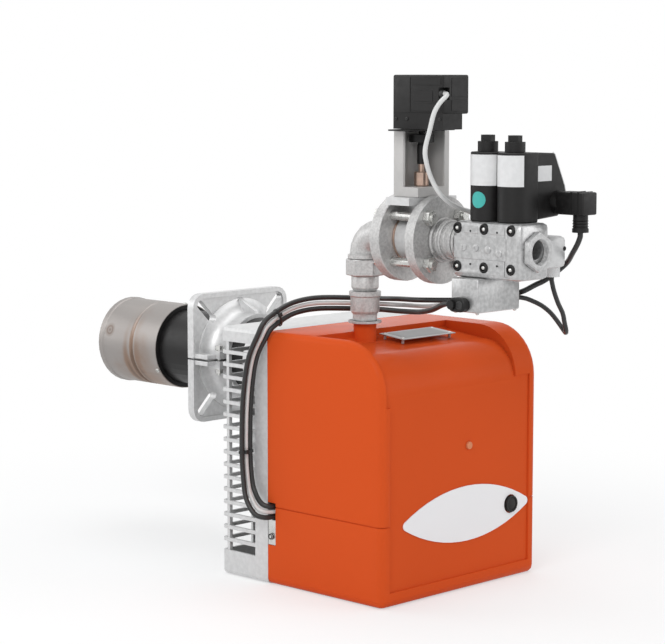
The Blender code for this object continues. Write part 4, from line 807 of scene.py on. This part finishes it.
class BURNER_OT_train(bpy.types.Operator):
    """Riser, union, elbow and the flanged throttle"""
    bl_idname = "burner.train"
    bl_label = "Gas train"

    def execute(self, context):
        edge = context.scene.burner_sizes.soft_edge
        dress("rosette", "valve_metal", edge * 0.5)
        for node in ("gas_riser", "reducer_socket", "union_tail", "union_nut", "elbow", "flange_rear",
                     "flange_front"):
            dress(node, "pipe_metal", edge * 0.8)
        dress("butterfly_body", "cast_metal", edge)
        dress("servo_bracket", "bracket_metal", edge)
        for node in ("gasket_rear", "gasket_front", "gland_nut", "throttle_disc"):
            dress(node, "copper_metal", edge * 0.4)
        for i in range(1, 5):
            dress("flange_stud_%d" % i, "zinc_metal", edge * 0.5)
        dress("servo_coupling", "black_moulding", edge * 0.5)
        dress("servo_plate", "black_paintwork", edge * 0.4)
        dress("servo_body", "black_moulding", edge * 0.8)
        body = part_body("servo_body")

        bm = bmesh.new()
        first, pitch, root, corner = 0.1403, 0.0058, 0.0215, 0.0012
        for i, rim in enumerate((0.0292, 0.0256, 0.0268, 0.0244, 0.0240, 0.0266, 0.0266)):
            start = first + pitch * i
            add_turned(bm, [(root, start), (rim - corner, start), (rim, start + corner),
                            (rim, start + 0.0030), (rim - corner, start + 0.0042), (root, start + 0.0042)],
                       (PIPE_X, PIPE_Y, PASS_Z), (0, -1, 0), 40)
        keep("nipple_rings", bm, "pipe_metal", body)
        self.servo_trim(body)
        return {"FINISHED"}

    def servo_trim(self, body):
        """Raised panels on the servo's two shown sides, its screws and the grommet of its lead."""
        low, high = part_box("servo_body")
        bm = bmesh.new()
        proud = 0.0005
        sunk = 0.002
        for near, far, floor, roof in ((-0.2390, -0.2378, 0.6420, high.z - 0.003),
                                       (low.y + 0.004, -0.2420, 0.6440, 0.6530),
                                       (low.y + 0.018, -0.2450, 0.6560, 0.6700),
                                       (low.y + 0.004, -0.2420, 0.6770, high.z - 0.004)):
            add_block(bm, (low.x - proud, near, floor), (low.x + sunk, far, roof))
        for floor, roof in ((0.6440, 0.6580), (0.6620, high.z - 0.004)):
            add_block(bm, (low.x + 0.0160, low.y - proud, floor), (high.x - 0.004, low.y + sunk, roof))
        keep("servo_panels", bm, "black_moulding", body, 0.0003)
        bm = bmesh.new()
        add_turned(bm, [(0.0031, 0), (0.0060, 0), (0.0060, 0.0020), (0.0042, 0.0040), (0.0031, 0.0040)],
                   SERVO_ROUTE[0], (0, -1, 0), 28)
        keep("servo_grommet", bm, "black_sheath", body)
        bm = bmesh.new()
        for y in (low.y + 0.006, -0.2330, high.y - 0.006):
            add_screw(bm, (low.x + 0.0006, y, 0.6335), (-1, 0, 0), 0.0022, 0.0012, 0.5, 16)
        keep("servo_screws", bm, "black_sheath", body)


class BURNER_OT_valve(bpy.types.Operator):
    """Valve block, coils, switches and plugs"""
    bl_idname = "burner.valve"
    bl_label = "Gas valve"

    def execute(self, context):
        edge = context.scene.burner_sizes.soft_edge
        dress("valve_block", "valve_metal", edge)
        dress("inlet_port", "valve_metal", edge)
        dress("pressure_switch", "valve_metal", edge)
        dress("side_switch", "cast_metal", edge)
        for node in ("coil_1", "coil_2", "coil_nut_1", "coil_nut_2", "terminal_box", "valve_plug",
                     "pressure_plug"):
            dress(node, "black_moulding", edge * 0.8)
        for node in ("plunger_1", "plunger_2"):
            dress(node, "zinc_metal", 0)
        self.block_trim()
        self.coil_labels()
        self.switch_trim()
        return {"FINISHED"}

    def block_trim(self):
        """The block's cap bolts, round plugs, cast pad and thread."""
        body = part_body("valve_block")
        caps = bmesh.new()
        domes = bmesh.new()
        for t in BLOCK_BOLT_T:
            for z in BLOCK_BOLT_Z:
                for side in (-1, 1):
                    floor = PIPE_X + side * BLOCK_POCKET
                    add_screw(caps, (floor, train_y(t), z), (side, 0, 0), 0.0074, 0.0078, 0.56, 28)
                    add_dome(domes, (floor + side * 0.0020, train_y(t), z), (side, 0, 0), 0.0032, 0.0066)
        keep("block_caps", caps, "black_moulding", body)
        keep("block_bolts", domes, "zinc_metal", body)

        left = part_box("valve_block")[0].x
        bm = bmesh.new()
        add_block(bm, (left - 0.0008, train_y(0.2700), 0.4590), (left + 0.001, train_y(0.1840), 0.4875))
        for t in BLOCK_PAD_T:
            add_block(bm, (left - 0.0006, train_y(t + 0.0120), 0.4915),
                      (left + 0.001, train_y(t - 0.0120), 0.5010))
        keep("block_pads", bm, "valve_metal", body, 0.0008, 3)
        bm = bmesh.new()
        for t, z in ((0.2005, 0.4734), (0.2206, 0.4733)):
            add_screw(bm, (left - 0.0007, train_y(t), z), (-1, 0, 0), 0.0048, 0.0014, 0.42, 32)
        for t, z in ((0.2404, 0.4720), (0.2585, 0.4681)):
            add_dome(bm, (left - 0.0007, train_y(t), z), (-1, 0, 0), 0.0050, 0.0014, 32)
        keep("block_plugs", bm, "valve_metal", body)
        bm = bmesh.new()
        for t in BLOCK_PAD_T:
            for z in (0.4525, 0.4945):
                add_screw(bm, (left - 0.0006, train_y(t), z), (-1, 0, 0), 0.0014, 0.0003, 0.6, 12)
        keep("block_pins", bm, "black_moulding", body)

        low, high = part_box("inlet_port")
        bm = bmesh.new()
        turns = 4
        pitch = (high.y - low.y) / turns
        for i in range(turns):
            add_turned(bm, [(0.0169, 0), (0.0157, pitch * 0.45), (0.0169, pitch * 0.9)],
                       (PIPE_X, low.y + pitch * i, (low.z + high.z) / 2), (0, 1, 0), 40)
        keep("port_thread", bm, "valve_metal", body)

    def coil_labels(self):
        """Bare labels on the coils and the terminal box, and the round sticker."""
        body = part_body("coil_1")
        for i, t in enumerate(COIL_T, 1):
            wrapped_label("coil_label_%d" % i, (PIPE_X, train_y(t)), COIL_R + 0.0003, (109, 251),
                          (0.5515, 0.5905), "label_paper", body)
        box_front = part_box("terminal_box")[0].y
        flat_label("terminal_label", (PIPE_X + 0.0225, box_front, 0.5570), (0.0300, 0, 0), (0, 0, 0.0195),
                   "label_paper", body)

        bm = bmesh.new()
        bmesh.ops.create_circle(bm, segments=32, radius=0.0104, cap_ends=True, cap_tris=True)
        bmesh.ops.subdivide_edges(bm, edges=bm.edges, cuts=5, use_grid_fill=True)
        centre = Vector((PIPE_X, train_y(COIL_T[0]), 0.5337))
        reach = COIL_R + 0.0003
        for v in bm.verts:
            angle = math.radians(187) - v.co.x / reach
            v.co = centre + Vector((math.cos(angle) * reach, math.sin(angle) * reach, v.co.y))
        bmesh.ops.recalc_face_normals(bm, faces=bm.faces)
        bmesh.ops.solidify(bm, geom=list(bm.faces),
                           thickness=bpy.context.scene.burner_sizes.label_thickness)
        bmesh.ops.recalc_face_normals(bm, faces=bm.faces)
        keep("coil_sticker", bm, "teal_paper", body)

        # A thin light grey line along the terminal box's slanted lid edge: a painted highlight on that
        # edge, made of label paper
        lip = [Vector((PIPE_X + x, box_front + 0.0018, z))
               for x, z in ((0.0572, 0.5924), (0.0605, 0.5908), (0.0807, 0.5500), (0.0836, 0.5400))]
        bm = bmesh.new()
        for here, there in zip(lip, lip[1:]):
            add_rod(bm, (here + there) / 2, 0.0009, (there - here).length + 0.0008, there - here, 12)
        keep("terminal_edge_highlight", bm, "label_paper", body)

    def switch_trim(self):
        """The switches' screws and the plugs' knob, bands and gland ribs."""
        body = part_body("pressure_switch")
        low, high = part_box("pressure_switch")
        bm = bmesh.new()
        for x in (low.x + 0.0045, high.x - 0.0045):
            for y in (low.y + 0.0045, high.y - 0.0045):
                add_dome(bm, (x, y, low.z + 0.0002), (0, 0, -1), 0.0024, 0.0026, 16)
        keep("switch_feet", bm, "zinc_metal", body)

        low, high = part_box("pressure_plug")
        height = (low.z + high.z) / 2
        bm = bmesh.new()
        place = Vector((low.x - 0.0018, high.y - 0.0078, height))
        knob = add_rod(bm, place, 0.0062, 0.0040, (-1, 0, 0), 28)
        for i, v in enumerate(sorted(knob, key=lambda v: math.atan2(v.co.z - place.z, v.co.y - place.y))):
            if i // 2 % 2:
                v.co = place + (v.co - place) * Vector((1, 0.88, 0.88))
        keep("plug_knob", bm, "black_moulding", body, 0.0002)
        bm = bmesh.new()
        add_screw(bm, (low.x + 0.0002, low.y + 0.0088, height), (-1, 0, 0), 0.0056, 0.0012, 0.62, 28)
        keep("plug_socket", bm, "black_sheath", body)

        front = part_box("side_switch")[0].y
        bm = bmesh.new()
        add_screw(bm, (0.0068, front + 0.0003, 0.4710), (0, -1, 0), 0.0030, 0.0010, 0.6, 20)
        keep("side_switch_screw", bm, "black_moulding", body)

        low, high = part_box("valve_plug")
        middle = (low.x + high.x) / 2
        proud = 0.0001
        bm = bmesh.new()
        for t in (0.3090, 0.3200):
            add_block(bm, (low.x - proud, train_y(t + 0.0012), high.z - 0.0290),
                      (high.x + proud, train_y(t), high.z))
        for i in range(3):
            add_turned(bm, [(0.0092, 0), (0.0106, 0.0008), (0.0092, 0.0016)],
                       (middle, train_y(PLUG_T), low.z + 0.0066 + 0.0036 * i), (0, 0, 1), 28)
        keep("plug_bands", bm, "black_moulding", body, 0.0002)


class BURNER_PT_panel(bpy.types.Panel):
    """The burner's settings and pieces"""
    bl_label = "Burner"
    bl_space_type = "VIEW_3D"
    bl_region_type = "UI"
    bl_category = "Burner"

    def draw(self, context):
        layout = self.layout
        for group in (context.scene.burner_colours, context.scene.burner_sizes):
            for name in group.__annotations__:
                layout.prop(group, name)
        for piece in PIECES:
            layout.operator(piece.bl_idname)


PIECES = (BURNER_OT_stage, BURNER_OT_cables, BURNER_OT_body, BURNER_OT_head, BURNER_OT_train,
          BURNER_OT_valve)
CLASSES = (BurnerColours, BurnerSizes, *PIECES, BURNER_PT_panel)


def register():
    for cls in CLASSES:
        bpy.utils.register_class(cls)
    bpy.types.Scene.burner_colours = PointerProperty(type=BurnerColours)
    bpy.types.Scene.burner_sizes = PointerProperty(type=BurnerSizes)


def unregister():
    del bpy.types.Scene.burner_sizes
    del bpy.types.Scene.burner_colours
    for cls in reversed(CLASSES):
        bpy.utils.unregister_class(cls)


def main():
    register()
    bpy.ops.burner.stage()
    bpy.ops.burner.cables()
    bpy.ops.burner.body()
    bpy.ops.burner.head()
    bpy.ops.burner.train()
    bpy.ops.burner.valve()


if __name__ == "__main__":
    main()
